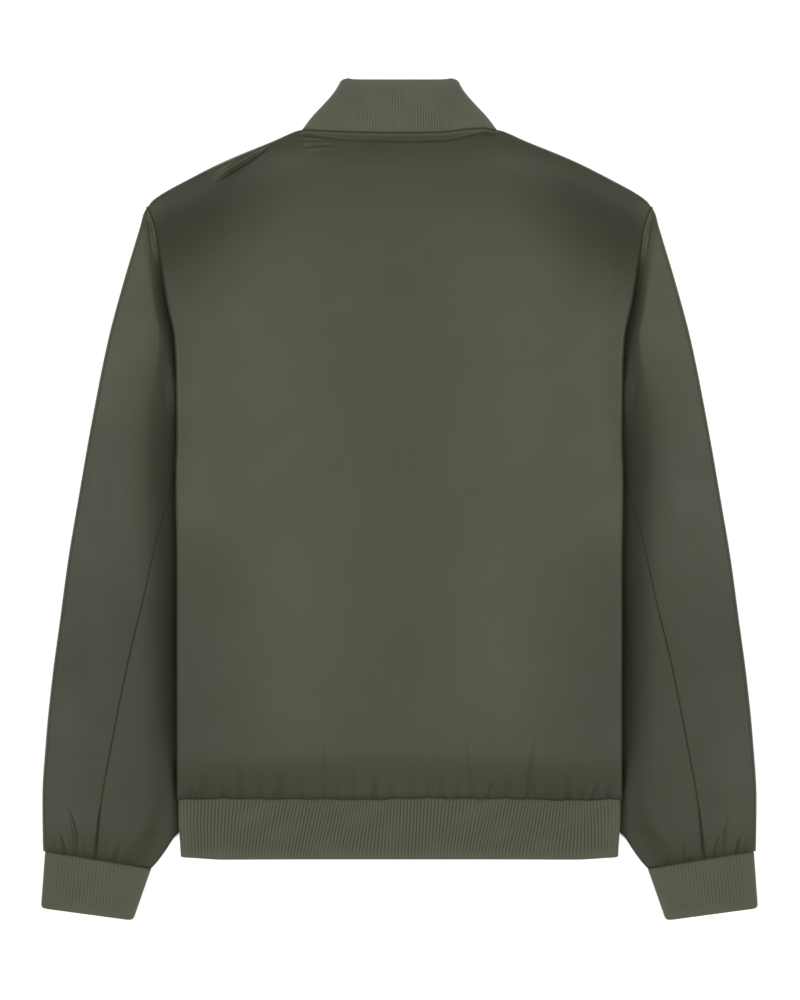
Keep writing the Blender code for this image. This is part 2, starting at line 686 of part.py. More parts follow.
def zip_slider(collection, cutters, metal):
    lower, upper = SLIDER_PLATES
    across = (-SLIDER_HALF, SLIDER_HALF)
    slider = block("zip_slider", across, SLIDER_Y, lower, collection, metal)
    lid = block("slider_lid", across, SLIDER_Y, upper, cutters, metal)
    bridge_x, bridge_z = (-BRIDGE_HALF, BRIDGE_HALF), (lower[0] + OVERLAP, upper[1] - OVERLAP)
    bridge = block("slider_bridge", bridge_x, BRIDGE_Y, bridge_z, cutters, metal)
    combine(slider, lid, "UNION")
    combine(slider, bridge, "UNION")
    lug_y = (PULL_AXIS[0] - LUG_HALF, PULL_AXIS[0] + LUG_HALF)
    for name, side in (("slider_lug_left", -1), ("slider_lug_right", 1)):
        lug = block(name, sorted(side * x for x in LUG_X), lug_y, LUG_Z, cutters, metal)
        combine(slider, lug, "UNION")
    hole = rod("slider_lug_hole", LUG_HOLE, LUG_X[1] + OVERLAP, PIN_SIDES, cutters, metal)
    combine(slider, hole, "DIFFERENCE")


def zip_pull(collection, cutters, metal):
    pull = rod("zip_pull", BARREL_RADIUS, BARREL_HALF, BARREL_SIDES, collection, metal)
    pin = rod("pull_pin", PIN_RADIUS, PIN_HALF, PIN_SIDES, cutters, metal)
    stem_z, tab_z = [
        (PULL_AXIS[1] - thick / 2, PULL_AXIS[1] + thick / 2) for thick in (PULL_THICK, TAB_THICK)
    ]
    stem = block("pull_stem", (-STEM_HALF, STEM_HALF), STEM_Y, stem_z, cutters, metal)
    tab = block("pull_tab", (-PULL_HALF, PULL_HALF), TAB_Y, tab_z, cutters, metal)
    corners = tab.modifiers.new("corners", "BEVEL")
    corners.width = TAB_CORNER * MM
    corners.segments = 1
    for tool in (pin, stem, tab):
        combine(pull, tool, "UNION")


# ---------------------------------------------------------------- jacket

def clear_scene():
    for old in list(bpy.data.objects):
        bpy.data.objects.remove(old, do_unlink=True)


def new_collection(name):
    made = bpy.data.collections.new(name)
    bpy.context.scene.collection.children.link(made)
    return made


def main():
    clear_scene()
    jacket = new_collection("bomber_jacket")
    cutters = new_collection("cutters")
    shell = material("satin_shell", SHELL_COLOUR, 0.45)
    knit = material("rib_knit", RIB_COLOUR, 0.85)
    tape = material("zip_tape", TAPE_COLOUR, 0.8)
    metal = material("zip_metal", METAL_COLOUR, 0.35, 1.0)
    back_panel(jacket, shell)
    for side_name, side in (("left", -1), ("right", 1)):
        front_panel(f"front_{side_name}", side, jacket, shell)
        sleeve_piece(f"sleeve_{side_name}_top", side, TOP_PIECE, jacket, shell)
        sleeve_piece(f"sleeve_{side_name}_under", side, UNDER_PIECE, jacket, shell)
        cuff(f"cuff_{side_name}", side, jacket, knit)
    hem_band(jacket, knit)
    collar(jacket, knit)
    zip_tapes_and_chain(jacket, tape, metal)
    zip_slider(jacket, cutters, metal)
    zip_pull(jacket, cutters, metal)


main()
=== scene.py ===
"""Bomber jacket laid on its zipped front: soft shell, rib knit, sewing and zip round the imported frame.

X runs across the back, Y from the hem (minus) to the collar (plus), Z up from the ground.
Tables and shape functions are in millimetres. Every mesh point becomes metres as it is made.
"""

import math
from collections import namedtuple

import bmesh
import bpy
import numpy as np
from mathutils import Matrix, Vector
from mathutils.bvhtree import BVHTree


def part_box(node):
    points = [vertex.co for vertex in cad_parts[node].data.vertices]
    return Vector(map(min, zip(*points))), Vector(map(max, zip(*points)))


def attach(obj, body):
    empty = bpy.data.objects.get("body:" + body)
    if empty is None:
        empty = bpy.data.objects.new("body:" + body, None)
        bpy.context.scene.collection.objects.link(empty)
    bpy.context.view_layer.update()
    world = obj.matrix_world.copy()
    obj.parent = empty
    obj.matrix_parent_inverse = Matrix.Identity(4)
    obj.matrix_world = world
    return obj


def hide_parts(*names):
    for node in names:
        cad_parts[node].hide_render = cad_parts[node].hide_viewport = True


bl_info = {
    "name": "Laid bomber jacket",
    "version": (1, 0, 0),
    "blender": (4, 5, 0),
    "location": "3D View > Sidebar > Jacket",
    "description": "Soft shell, rib knit, sewing and zip of a bomber jacket laid flat",
    "category": "Object",
}

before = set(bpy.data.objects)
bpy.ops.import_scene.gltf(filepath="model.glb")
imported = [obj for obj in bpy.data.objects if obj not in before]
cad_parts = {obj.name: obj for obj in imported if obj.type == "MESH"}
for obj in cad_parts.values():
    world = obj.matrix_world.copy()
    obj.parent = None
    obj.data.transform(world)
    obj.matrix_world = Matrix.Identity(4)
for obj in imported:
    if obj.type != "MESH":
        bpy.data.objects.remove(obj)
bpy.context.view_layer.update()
MM = 0.001
SIDES = (("left", -1.0), ("right", 1.0))

# Cloth and seams
SEAM = 0.15  # half of the clearance between two sewn pieces
FOLD = 4.0  # outer radius of the cloth where it turns over an edge
SIDE_FOLD = 6.2  # and of the padded body where it turns over its sides
SIDE_REACH = 0.42  # that turn is this much narrower than it is tall

# Body
HEM_SEAM_Y = -284.0
UNDERARM_Y = 46.0
SHOULDER_END_Y = 275.4
SHOULDER_SLOPE = math.radians(25.4)
NECK_HALF = 89.0
NECK_TURN = 6.0  # beyond the neck, the flat edge turns into the shoulder fold
BACK_NECK_Y = 349.0
BACK_NECK_RISE = 2.6
NECK_POINT_Y = 351.6
TAPE_END = 94.0  # the neck's seam allowance shows this far to each side
TAPE_THICK = 0.8
TAPE_STEP = 1.2  # over which its lower edge falls to the shell
TAPE_GROOVE_AT = 0.4  # below that edge
TAPE_GROOVE = 0.9  # reach of the stitched groove
FRONT_NECK_DROP = 66.0
FRONT_EDGE = 4.9  # from the middle to each front's edge, beside the zip
ARMHOLE_FOLD = math.radians(10.0)
ARMHOLE_UNDER = math.radians(-65.0)
SIDE_SEAM = math.radians(80.0)
SEAM_TURN_UP = 30.0
SEAM_TURN_DOWN = 86.0
LIFT_RAMP = 34.0  # the fronts climb onto the sleeves over this length
DRAPE_RAMP = 120.0  # and the padded back over this one
DRAPE_END_Y = 120.0  # the back settles to the ground between these two
DRAPE_FULL_Y = -25.0
PUFF_SIDE = (46.0, 64.0)  # the padding rises over this length from the side: up at the armhole, and low
PUFF_NECK = (34.0, 20.0)  # from the collar, and from the shoulder
PUFF_HEM = (66.0, 40.0)  # from the hem in the middle, and beside it
LOBE_PITCH = 204.0  # the back fills out in two upright lobes
LOBE_RELIEF = 0.1
LOW_SIDE_SETTLE = 0.42  # share of the padding that the low sides lose
TOP_STRETCH = 14.0  # below the shoulder line, where the rows of points are closest
HEM_SHADE = 0.16  # share of the painted shade colour close to the hem seam
TAPE_SHADE = 0.45  # in the groove of the neck's seam allowance
TAPE_EASED = 0.25  # and how much less of it where that lies open
TAPE_EASED_X = -47.0
GATHER_SHADE = 0.06  # for each millimetre of a gather's depth
NECK_SHADE = 0.6
LOW_SHADE = 0.14  # on the lower sleeves
STRIP_ROLL = 2.2  # height of the roll above the shoulder's crease
STRIP_OFF = 9.0  # and how far its middle is from the crease

# Sleeves
TUCKED = 6.3  # two layers pressed together
TUCKED_FOLD = 3.3
SLEEVE_ROUND = 4.5  # plan width of the turn along a sleeve's outer side
UNDER_SEAM_SHARE = 0.6
SLEEVE_SPLIT = 6.6  # section where the seam leaves the armhole
UNDER_START = 6.3  # section where the inner piece starts, tucked beneath the outer one
SLEEVE_SEAM_GAP = 0.05  # half of the clearance along the sleeve's own seam
HIDDEN_SEAM_GAP = 0.008  # and where the body covers it
SLEEVE_SEAM_GROOVE = 0.3

# Sewing
STITCH_LINE = 6.0  # from each front's edge to the stitches that hold the zip
STITCH_GROOVE = 0.6

# Ribs
LIP = 2.4  # the knit runs on beneath the shell at its seam, as far as this and this deep
LIP_DEPTH = 2.0
CUFF_REACH = 1.3  # the cuffs reach up to the sleeves' gathered ends
CUFF_CORNER = 3.0  # radius of the corners at the free edge
CUFF_FAN = 0.45  # the cuffs' ribs fan out below the seam by this share
HEM_CORNER = 1.6
HEM_CORNER_DROP = 2.2  # the band's free edge rises this much towards its corners
HEM_EDGE_Y = -341.5
HEM_HALF = 209.6
HEM_TAPER = 1.8  # the band's sides draw in this much below its middle
RIB_LOW = 0.45  # the knit's underside, less half a rib
HEM_LAID = 8.0
CUFF_LAID = 7.8
CUFF_TALL = 50.2
COLLAR_LAID = 7.8
COLLAR_TALL = 50.0
COLLAR_TOP_Y = 399.6
COLLAR_FOLD = 3.6
COLLAR_SEAM_HALF = 89.0  # half of the collar at its seam, as far as its folds
COLLAR_TOP_DROP = 66.0
COLLAR_EARS = 1.1  # the folded corners stand a little higher than the middle
RIB_SPREAD = 0.4  # the collar's ribs stay nearly upright in the middle and crowd at its sides

# Threads, in metres from one to the next
TURN = 2 * math.pi
WEAVE_PITCH = 0.00055
WEFT_PITCH = 0.0004
LOOP_PITCH = 0.0011
HERRINGBONE = 0.0024
TAPE_ROW = 0.0006
PLY_PITCH = 0.0009

# Stage: sizes and places in metres, light in watts
FLOOR_SIZE = 14.0
LIGHT_X = 1.5
LIGHT_Z = 3.6
LIGHT_SIZE = 1.2
LIGHT_POWER = 62.0
SKY_STRENGTH = 0.3
SENSOR = 36.0
CAMERA_X = 0.0005
CLOTH_LEVEL = 0.006  # the plane that the view's length is measured in

Width = namedtuple("Width", "y half")
Slope = namedtuple("Slope", "x y")
Lift = namedtuple("Lift", "y plateau height")
Valley = namedtuple("Valley", "y width depth spread shade")
Section = namedtuple("Section", "outer_y inner_y")
Gather = namedtuple("Gather", "foot head length depth width")
Fold = namedtuple("Fold", "x0 y0 x1 y1 bend depth width lip")
Wave = namedtuple("Wave", "height length start")
Hollow = namedtuple("Hollow", "depth below above_reach under_reach from_x over")
Patch = namedtuple("Patch", "depth from_x to_x from_y to_y")

BODY_SIDE = [
    Width(-285, 211.2), Width(-60, 211.4), Width(5, 212.3), Width(57, 212.4), Width(125, 212.8),
    Width(155, 214.6), Width(186, 221.0), Width(235, 228.8), Width(257, 232.3), Width(280, 239.5),
]
SHOULDER = [
    Slope(94, 352.0), Slope(101, 349.6), Slope(118, 342.0), Slope(164, 323.0),
    Slope(202, 304.0), Slope(229, 288.8), Slope(236, 283.1), Slope(240, 277.4),
]
# Where and how far the body is held off the ground by the sleeve beneath it
LIFTED = [
    Lift(-341.5, 196, 2.8), Lift(-316, 192, 6.0), Lift(-285, 188, 6.6), Lift(-228, 174, 6.6),
    Lift(-142, 163, 6.6), Lift(-85, 163, 6.6), Lift(-25, 178, 6.6), Lift(15, 202, 6.6),
    Lift(32, 208, 5.2), Lift(46, 211, 1.8), Lift(62, 211, 0.0),
]
SLEEVE_OUTER = [
    Width(-334, 338.7), Width(-285, 339.2), Width(-228, 335.8), Width(-171, 330.1),
    Width(-114, 322.5), Width(-57, 314.9), Width(0, 305.4), Width(76, 292.1), Width(152, 276.9),
    Width(209, 261.7), Width(247, 250.3), Width(263, 245.6), Width(271, 243.7), Width(278, 240.4),
]
SLEEVE_INNER = [
    Width(-350.2, 235.8), Width(-344, 230.2), Width(-332.5, 221.8), Width(-321, 214.2),
    Width(-315, 208.5), Width(-285, 195.0), Width(-228, 181.0), Width(-142, 170.0),
    Width(-85, 170.0), Width(-28, 184.5), Width(12, 199.5), Width(24, 205.0), Width(36, 209.5),
    Width(46, 211.9),
]
SLEEVE_SEAM = [
    Width(-345, 289.5), Width(-301, 285.0), Width(-220, 270.9), Width(-144, 255.3),
    Width(-95, 243.0), Width(-28, 227.5), Width(2, 218.5), Width(25, 212.5), Width(40, 210.5),
]
SLEEVE_SECTIONS = [
    Section(279.2, 273.4), Section(264, 248), Section(240, 215), Section(199, 175), Section(143, 125),
    Section(89, 78), Section(55, 46), Section(48, 40), Section(20, 14), Section(-22, -28),
    Section(-74, -80), Section(-126, -134), Section(-176, -186), Section(-218, -229),
    Section(-250, -262), Section(-274, -287), Section(-293, -307), Section(-308, -323),
    Section(-322, -338), Section(-333.8, -350.2),
]
# Seam allowance under the collar, turned down and stitched
NECK_TAPE = [
    Width(-92, 4.6), Width(-56, 6.9), Width(-19, 7.5), Width(20, 7.9), Width(49, 7.7), Width(70, 5.6),
    Width(90, 3.4),
]
COLLAR_SIDE = [(0.0, 92.6), (0.25, 83.4), (0.5, 72.0), (0.75, 61.5), (0.9, 57.2), (0.96, 55.6), (1.0, 51.4)]
# How far the band's ribs lean from the seam to the free edge, from its left side (-1) to its right (1)
HEM_LEAN = [
    (-1.0, 0.0), (-0.92, -2.0), (-0.82, -5.0), (-0.68, -10.0), (-0.5, -12.0), (-0.35, -14.0), (-0.2, -10.5),
    (0.0, -3.0), (0.1, -3.0), (0.25, -7.0), (0.4, -11.5), (0.55, -10.0), (0.7, -6.5), (0.8, -1.5),
    (0.9, 4.0), (1.0, 0.0),
]
CUFF_ENDS = (
    ((336.8, -335.0), (236.0, -351.8)),  # at the sleeve: outer and inner corner
    ((340.8, -387.8), (253.2, -399.6)),  # at the open edge
)

# Painted shade in the valley between body and sleeve: a deep dark gap, its width and depth, in a wider soft
# shade
VALLEY_SHADE = [
    Valley(252, 3.0, 0.0, 10.0, 0.0), Valley(234, 4.0, 0.3, 10.0, 0.0), Valley(218, 6.0, 0.75, 12.0, 0.0),
    Valley(190, 7.0, 0.92, 14.0, 0.05), Valley(163, 7.4, 0.95, 20.0, 0.1),
    Valley(140, 6.4, 0.95, 26.0, 0.2), Valley(120, 4.4, 0.85, 28.0, 0.3), Valley(100, 3.0, 0.35, 28.0, 0.4),
    Valley(80, 4.0, 0.4, 28.0, 0.5), Valley(46, 6.0, 0.35, 28.0, 0.6), Valley(-95, 8.0, 0.2, 21.0, 0.6),
    Valley(-171, 12.5, 0.33, 20.0, 0.45), Valley(-218, 12.0, 0.33, 17.0, 0.4),
    Valley(-240, 9.0, 0.4, 14.0, 0.35), Valley(-258, 5.5, 0.7, 11.0, 0.3),
    Valley(-266, 5.0, 0.75, 10.0, 0.3), Valley(-280, 4.0, 0.5, 9.0, 0.25), Valley(-305, 4.0, 0.3, 8.0, 0.2),
]

# Unevenness of the two gathered seams, as sines
HEM_WAVES = [Wave(0.3, 15.0, 0.4), Wave(0.35, 5.3, 2.0), Wave(0.6, 33.0, 0.0)]
CUFF_SEAM_WAVES = [Wave(0.25, 3.1, 0.0), Wave(0.2, 1.7, 1.0)]

# The hollow below each shoulder: its middle and reach down from the edge, and where it starts along X
HOLLOW = Hollow(4.8, 33.0, 15.0, 58.0, 60.0, 110.0)
# Painted shade in that hollow: its strength, middle and reaches, and where it starts along X
HOLLOW_SHADE = Hollow(0.42, 30.0, 22.0, 62.0, 88.0, 104.0)

# Broad painted shades at the sides: each grows to its depth between two places along X and two along Y
SLACK_SIDE_SHADE = Patch(0.13, 90.0, 200.0, -10.0, -90.0)
LOW_SLEEVE = Patch(0.08, 290.0, 320.0, -150.0, -210.0)  # this much less painted shade on the sleeve's outer side

# Gathers above the hem band
HEM_GATHERS = [
    Gather(-200, -198, 18, 1.6, 2.4), Gather(-186, -187, 30, 1.8, 2.6), Gather(-168, -170, 22, 1.4, 2.4),
    Gather(-150, -152, 40, 1.6, 2.6), Gather(-132, -131, 24, 1.5, 2.4), Gather(-112, -109, 44, 1.9, 2.6),
    Gather(-93, -93, 26, 1.4, 2.4), Gather(-58, -59, 20, 1.4, 2.0), Gather(-24, -23, 34, 1.6, 2.4),
    Gather(-7, -8, 18, 1.3, 2.4), Gather(10, 10, 26, 1.5, 2.4), Gather(27, 28, 18, 1.3, 2.2),
    Gather(40, 38, 30, 1.7, 2.0), Gather(55, 57, 22, 1.6, 2.0), Gather(102, 104, 22, 1.5, 2.4),
    Gather(141, 141, 26, 1.5, 2.4), Gather(159, 161, 36, 1.6, 2.6), Gather(199, 199, 18, 1.4, 2.4),
]
# The sharper ones, from the seam up
HEM_CREASES = [
    Fold(-72.2, -284, -70.8, -190, 1.0, 1.5, 1.3, 0.3),
    Fold(-42.3, -284, -48.4, -243, 0.5, 1.9, 1.2, 0.3),
    Fold(68.9, -284, 60.3, -193, -1.0, 1.8, 1.3, 0.3),
    Fold(82.6, -284, 90.5, -262, 0.4, 2.6, 1.2, 0.4),
    Fold(121.1, -284, 131.8, -206, -1.2, 2.7, 1.3, 0.4),
    Fold(126.5, -284, 127.5, -258, 0.3, 1.4, 1.1, 0.3),
    Fold(181.9, -285, 190.0, -264, 0.4, 2.4, 1.2, 0.4),
    Fold(172.0, -285, 177.0, -266, 0.3, 1.6, 1.1, 0.3),
    Fold(-118.0, -284, -121.0, -272, 0.0, 1.8, 1.0, 0.4),
    Fold(-193.0, -284, -196.0, -272, 0.3, 1.6, 1.1, 0.3),
    Fold(-24.0, -284, -22.0, -262, 0.3, 1.3, 1.2, 0.3),
    Fold(33.0, -284, 30.5, -256, 0.3, 1.3, 1.2, 0.3),
]
# The left shoulder's crease, below a strip that lies flat and catches the light, with no painted shade on it
SHOULDER_CREASE = Fold(-179, 299.5, -110, 345.5, 1.5, 2.4, 1.7, 0.5)
# Creases of the back, each with a start, an end, a sideways bow, and a lip where it is sharp
BACK_FOLDS = [
    SHOULDER_CREASE,
    Fold(-95, 334.2, -56, 336.4, -1.2, 1.1, 1.2, 0.5),
    Fold(-98, 340.8, -56, 340.0, -0.8, 0.8, 1.0, 0.5),
    Fold(-232, 266, -221.5, 232, 1.0, 0.8, 1.4, 0.3),
    Fold(-226, 262, -212.0, 205, 2.0, 0.7, 3.0, 0.3),
    Fold(231.5, 262, 222.5, 236, -1.0, 0.7, 1.4, 0.3),
    Fold(227, 256, 214.0, 208, -2.0, 0.6, 3.0, 0.3),
]
# Creases of the fronts, pressed up from the ground
FRONT_CREASES = [
    Fold(-196, 214, -120, 176, 6.0, 1.1, 3.4, 0.0), Fold(-180, 128, -96, 98, -5.0, 0.9, 3.8, 0.0),
    Fold(-150, -60, -70, -98, 7.0, 0.8, 4.2, 0.0), Fold(-128, -190, -112, -270, -3.0, 1.0, 2.8, 0.0),
    Fold(190, 226, 128, 170, -6.0, 1.2, 3.4, 0.0), Fold(176, 96, 84, 80, 4.0, 0.9, 3.8, 0.0),
    Fold(160, -84, 92, -60, -6.0, 0.7, 4.2, 0.0), Fold(96, -200, 104, -272, 3.0, 1.0, 2.8, 0.0),
]
# Creases of the sleeves; those that end on the cuff start there at full depth
LEFT_SLEEVE_FOLDS = [
    Fold(-240.5, 277, -232.2, 224, 0.7, 1.3, 0.9, 0.6),
    Fold(-224.5, 112, -213.5, 68, 1.5, 0.6, 2.0, 0.4),
    Fold(-229, 198, -217.5, 150, 2.0, 0.4, 3.0, 0.2),
    Fold(-300, 40, -262, -30, 3.0, 0.5, 9.0, 0.0),
]
RIGHT_SLEEVE_FOLDS = [
    Fold(240.0, 275, 232.4, 228, -0.7, 1.1, 0.9, 0.6),
    Fold(226, 118, 214.5, 70, -1.5, 0.5, 2.0, 0.4),
    Fold(228, 196, 218.5, 154, -2.0, 0.35, 3.0, 0.2),
    Fold(296, 60, 268, -22, -3.0, 0.5, 9.0, 0.0),
]
LEFT_CUFF_FOLDS = [
    Fold(-308.0, -338.2, -326.0, -278.0, 7.0, 2.0, 1.7, 0.2),
    Fold(-318.0, -335.6, -324.0, -314.0, 1.0, 2.2, 1.1, 0.35),
    Fold(-289.2, -341.8, -282.6, -284.0, 0.3, 3.0, 1.0, 0.35),
    Fold(-282.0, -342.5, -279.0, -300.0, 1.0, 0.8, 2.0, 0.2),
    Fold(-273.2, -344.8, -265.5, -322.0, 1.5, 1.9, 2.0, 0.3),
    Fold(-256.0, -346.8, -257.5, -330.0, 0.0, 1.0, 2.0, 0.2),
    Fold(-299.0, -340.0, -301.0, -318.0, 0.5, 1.0, 1.6, 0.2),
    Fold(-327.0, -335.5, -329.0, -322.0, 0.0, 0.8, 1.8, 0.2),
]
RIGHT_CUFF_FOLDS = [
    Fold(308.5, -338.4, 315.5, -290.0, -2.0, 1.3, 1.7, 0.2),
    Fold(319.0, -337.6, 325.0, -316.0, -0.6, 2.3, 1.2, 0.4),
    Fold(289.2, -341.8, 282.6, -284.0, -0.3, 2.7, 1.0, 0.35),
    Fold(299.0, -339.8, 307.0, -314.0, -1.0, 1.4, 1.7, 0.3),
    Fold(271.0, -345.4, 269.5, -322.0, -0.3, 1.8, 1.5, 0.3),
    Fold(277.0, -344.5, 274.0, -333.0, 0.0, 1.8, 1.1, 0.3),
    Fold(255.0, -347.0, 257.0, -328.0, 0.0, 1.0, 2.0, 0.2),
    Fold(328.0, -335.5, 330.5, -320.0, 0.0, 0.9, 1.8, 0.2),
]


# ---------------------------------------------------------------- numbers
def mix(a, b, share):
    return a + (b - a) * share


def ease(share):
    share = np.clip(share, 0.0, 1.0)
    return share * share * (3.0 - 2.0 * share)


def ramp(value, start, end):
    """0 at start, 1 at end and smooth between them."""
    return ease((value - start) / (end - start))


def near(value, reach):
    """1 at 0, falling away smoothly on both sides."""
    return np.exp(-(value / reach) ** 2)


def pillow(share):
    """Rises steeply from 0 at an edge and levels off to 1."""
    return 1.0 - (1.0 - np.clip(share, 0.0, 1.0)) ** 2.3


def spaced(*stretches):
    """Places along a line, from (start, end, step) stretches that follow each other."""
    parts = []
    for start, end, step in stretches:
        count = max(1, round(abs(end - start) / step))
        parts.append(np.linspace(start, end, count, endpoint=False))
    return np.append(np.concatenate(parts), stretches[-1][1])


def along(rows, at, column=1):
    """A table's value at a place, on a smooth curve through its rows that never overshoots them."""
    table = np.array(sorted((row[0], row[column]) for row in rows), float)
    place, value = table[:, 0], table[:, 1]
    slope = np.diff(value) / np.diff(place)
    same_way = slope[:-1] * slope[1:] > 0
    total = np.where(same_way, slope[:-1] + slope[1:], 1.0)
    middle = np.where(same_way, 2 * slope[:-1] * slope[1:] / total, 0.0)
    tangent = np.concatenate([slope[:1], middle, slope[-1:]])
    at = np.clip(at, place[0], place[-1])
    k = np.clip(np.searchsorted(place, at, side="right") - 1, 0, len(place) - 2)
    width = place[k + 1] - place[k]
    f = (at - place[k]) / width
    start = (1 + 2 * f) * (1 - f) ** 2 * value[k] + f * (1 - f) ** 2 * width * tangent[k]
    return start + f * f * (3 - 2 * f) * value[k + 1] + f * f * (f - 1) * width * tangent[k + 1]


def waves(rows, x):
    return sum(row.height * np.sin(x / row.length + row.start) for row in rows)


def trough(offset, width, lip):
    """Section of a crease, 1 deep at its middle, with a soft lip on each side."""
    return near(offset, width) - lip * near(np.abs(offset) - 2.1 * width, 0.9 * width)


def beside(row, x, y):
    """Share of a crease's length that each point has passed, and its distance to the right of it."""
    length = math.hypot(row.x1 - row.x0, row.y1 - row.y0)
    ux, uy = (row.x1 - row.x0) / length, (row.y1 - row.y0) / length
    share = ((x - row.x0) * ux + (y - row.y0) * uy) / length
    inside = np.clip(share, 0.0, 1.0)
    return share, (x - row.x0) * uy - (y - row.y0) * ux - row.bend * 4 * inside * (1 - inside)


def folds(rows, x, y, from_start=False):
    """Depth of the creases at each point. They fade at both ends, or only at the far one."""
    depth = np.zeros_like(x)
    for row in rows:
        share, offset = beside(row, x, y)
        fade = ease((1 - share) / 0.7)
        if not from_start:
            fade *= ease(share / 0.35)
        depth += row.depth * fade * trough(offset, row.width, row.lip)
    return depth


# ---------------------------------------------------------------- meshes
def mesh_from_grid(name, points, around=False, maps=None, marks=None):
    """Quads through a grid of points in millimetres, rows by columns.

    maps holds (name, u, v) texture maps and marks holds (name, value), both with one value a point.
    """
    rows, columns = points.shape[:2]
    index = np.arange(rows * columns).reshape(rows, columns)
    left = index if around else index[:, :-1]
    right = np.roll(index, -1, axis=1) if around else index[:, 1:]
    quads = np.stack([left[:-1], right[:-1], right[1:], left[1:]], axis=-1).reshape(-1, 4)
    flat = points.reshape(-1, 3) * MM
    corners = flat[quads]
    normal = np.cross(corners[:, 2] - corners[:, 0], corners[:, 3] - corners[:, 1])
    if normal[corners[:, :, 2].sum(axis=1).argmax(), 2] < 0:
        quads = quads[:, ::-1]
    mesh = bpy.data.meshes.new(name)
    mesh.vertices.add(len(flat))
    mesh.vertices.foreach_set("co", flat.astype(np.float32).ravel())
    mesh.loops.add(quads.size)
    mesh.loops.foreach_set("vertex_index", quads.astype(np.int32).ravel())
    mesh.polygons.add(len(quads))
    mesh.polygons.foreach_set("loop_start", np.arange(0, quads.size, 4, dtype=np.int32))
    mesh.update(calc_edges=True)
    for map_name, u, v in maps or []:
        layer = mesh.uv_layers.new(name=map_name)
        pair = np.stack([u, v], axis=-1).reshape(-1, 2)
        layer.data.foreach_set("uv", pair[quads.ravel()].astype(np.float32).ravel())
    for mark_name, value in marks or []:
        mark = mesh.attributes.new(mark_name, "FLOAT", "POINT")
        mark.data.foreach_set("value", value.astype(np.float32).ravel())
    mesh.validate()
    mesh.shade_smooth()
    return mesh


def add_piece(name, mesh, finish=None):
    piece = bpy.data.objects.new(name, mesh)
    bpy.context.scene.collection.objects.link(piece)
    if finish is not None:
        mesh.materials.clear()
        mesh.materials.append(finish)
    return piece


def thicken(piece, thickness):
    """Gives an open shell its wall, inwards from the face that shows."""
    wall = piece.modifiers.new("wall", "SOLIDIFY")
    wall.thickness = thickness
    wall.offset = -1.0
    wall.use_rim = True


def lay(piece, node):
    """Fixes a cloth piece to the jacket in place of its solid."""
    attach(piece, "jacket")
    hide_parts(node)


def bake_nodes(piece, tree, inputs, finish):
    """Runs a Geometry Nodes tree on a piece and keeps its result as a plain mesh."""
    maker = piece.modifiers.new("maker", "NODES")
    maker.node_group = tree
    for socket in tree.interface.items_tree:
        if socket.item_type == "SOCKET" and socket.in_out == "INPUT" and socket.name in inputs:
            maker[socket.identifier] = inputs[socket.name]
    bpy.context.view_layer.update()
    evaluated = piece.evaluated_get(bpy.context.evaluated_depsgraph_get())
    result = bpy.data.meshes.new_from_object(evaluated)
    piece.modifiers.remove(maker)
    old = piece.data
    piece.data = result
    bpy.data.meshes.remove(old)
    result.name = piece.name
    result.materials.clear()
    result.materials.append(finish)
    result.shade_smooth()


# ---------------------------------------------------------------- node trees
def arithmetic(operation, swapped=False):
    """Method that puts values through one Math node."""
    def method(*values):
        ordered = values[::-1] if swapped else values
        return values[0].maker.node("ShaderNodeMath", {"operation": operation}, dict(enumerate(ordered)))

    return method


class Value:
    """A value in a node tree. Arithmetic on it adds Math nodes to that tree."""

    def __init__(self, maker, socket):
        self.maker = maker
        self.socket = socket

    __add__ = __radd__ = arithmetic("ADD")
    __mul__ = __rmul__ = arithmetic("MULTIPLY")
    __sub__ = arithmetic("SUBTRACT")
    __rsub__ = arithmetic("SUBTRACT", swapped=True)
    __truediv__ = arithmetic("DIVIDE")
    __pow__ = arithmetic("POWER")
    __rpow__ = arithmetic("POWER", swapped=True)
    __abs__ = arithmetic("ABSOLUTE")
    sine = arithmetic("SINE")
    fraction = arithmetic("FRACT")

    def between(self, low, high):
        """0 below low, 1 above high, and smooth between them."""
        return self.maker.node(
            "ShaderNodeMapRange", {"interpolation_type": "SMOOTHSTEP"},
            {"Value": self, "From Min": low, "From Max": high},
        )


class Maker:
    """A node tree in the making."""

    def __init__(self, tree):
        self.tree = tree

    def node(self, kind, settings=None, inputs=None, output=0):
        made = self.tree.nodes.new(kind)
        for key, value in (settings or {}).items():
            setattr(made, key, value)
        for key, value in (inputs or {}).items():
            if isinstance(value, Value):
                self.tree.links.new(value.socket, made.inputs[key])
            else:
                made.inputs[key].default_value = value
        return Value(self, made.outputs[output])

    def vector(self, x=0.0, y=0.0, z=0.0):
        return self.node("ShaderNodeCombineXYZ", inputs={0: x, 1: y, 2: z})


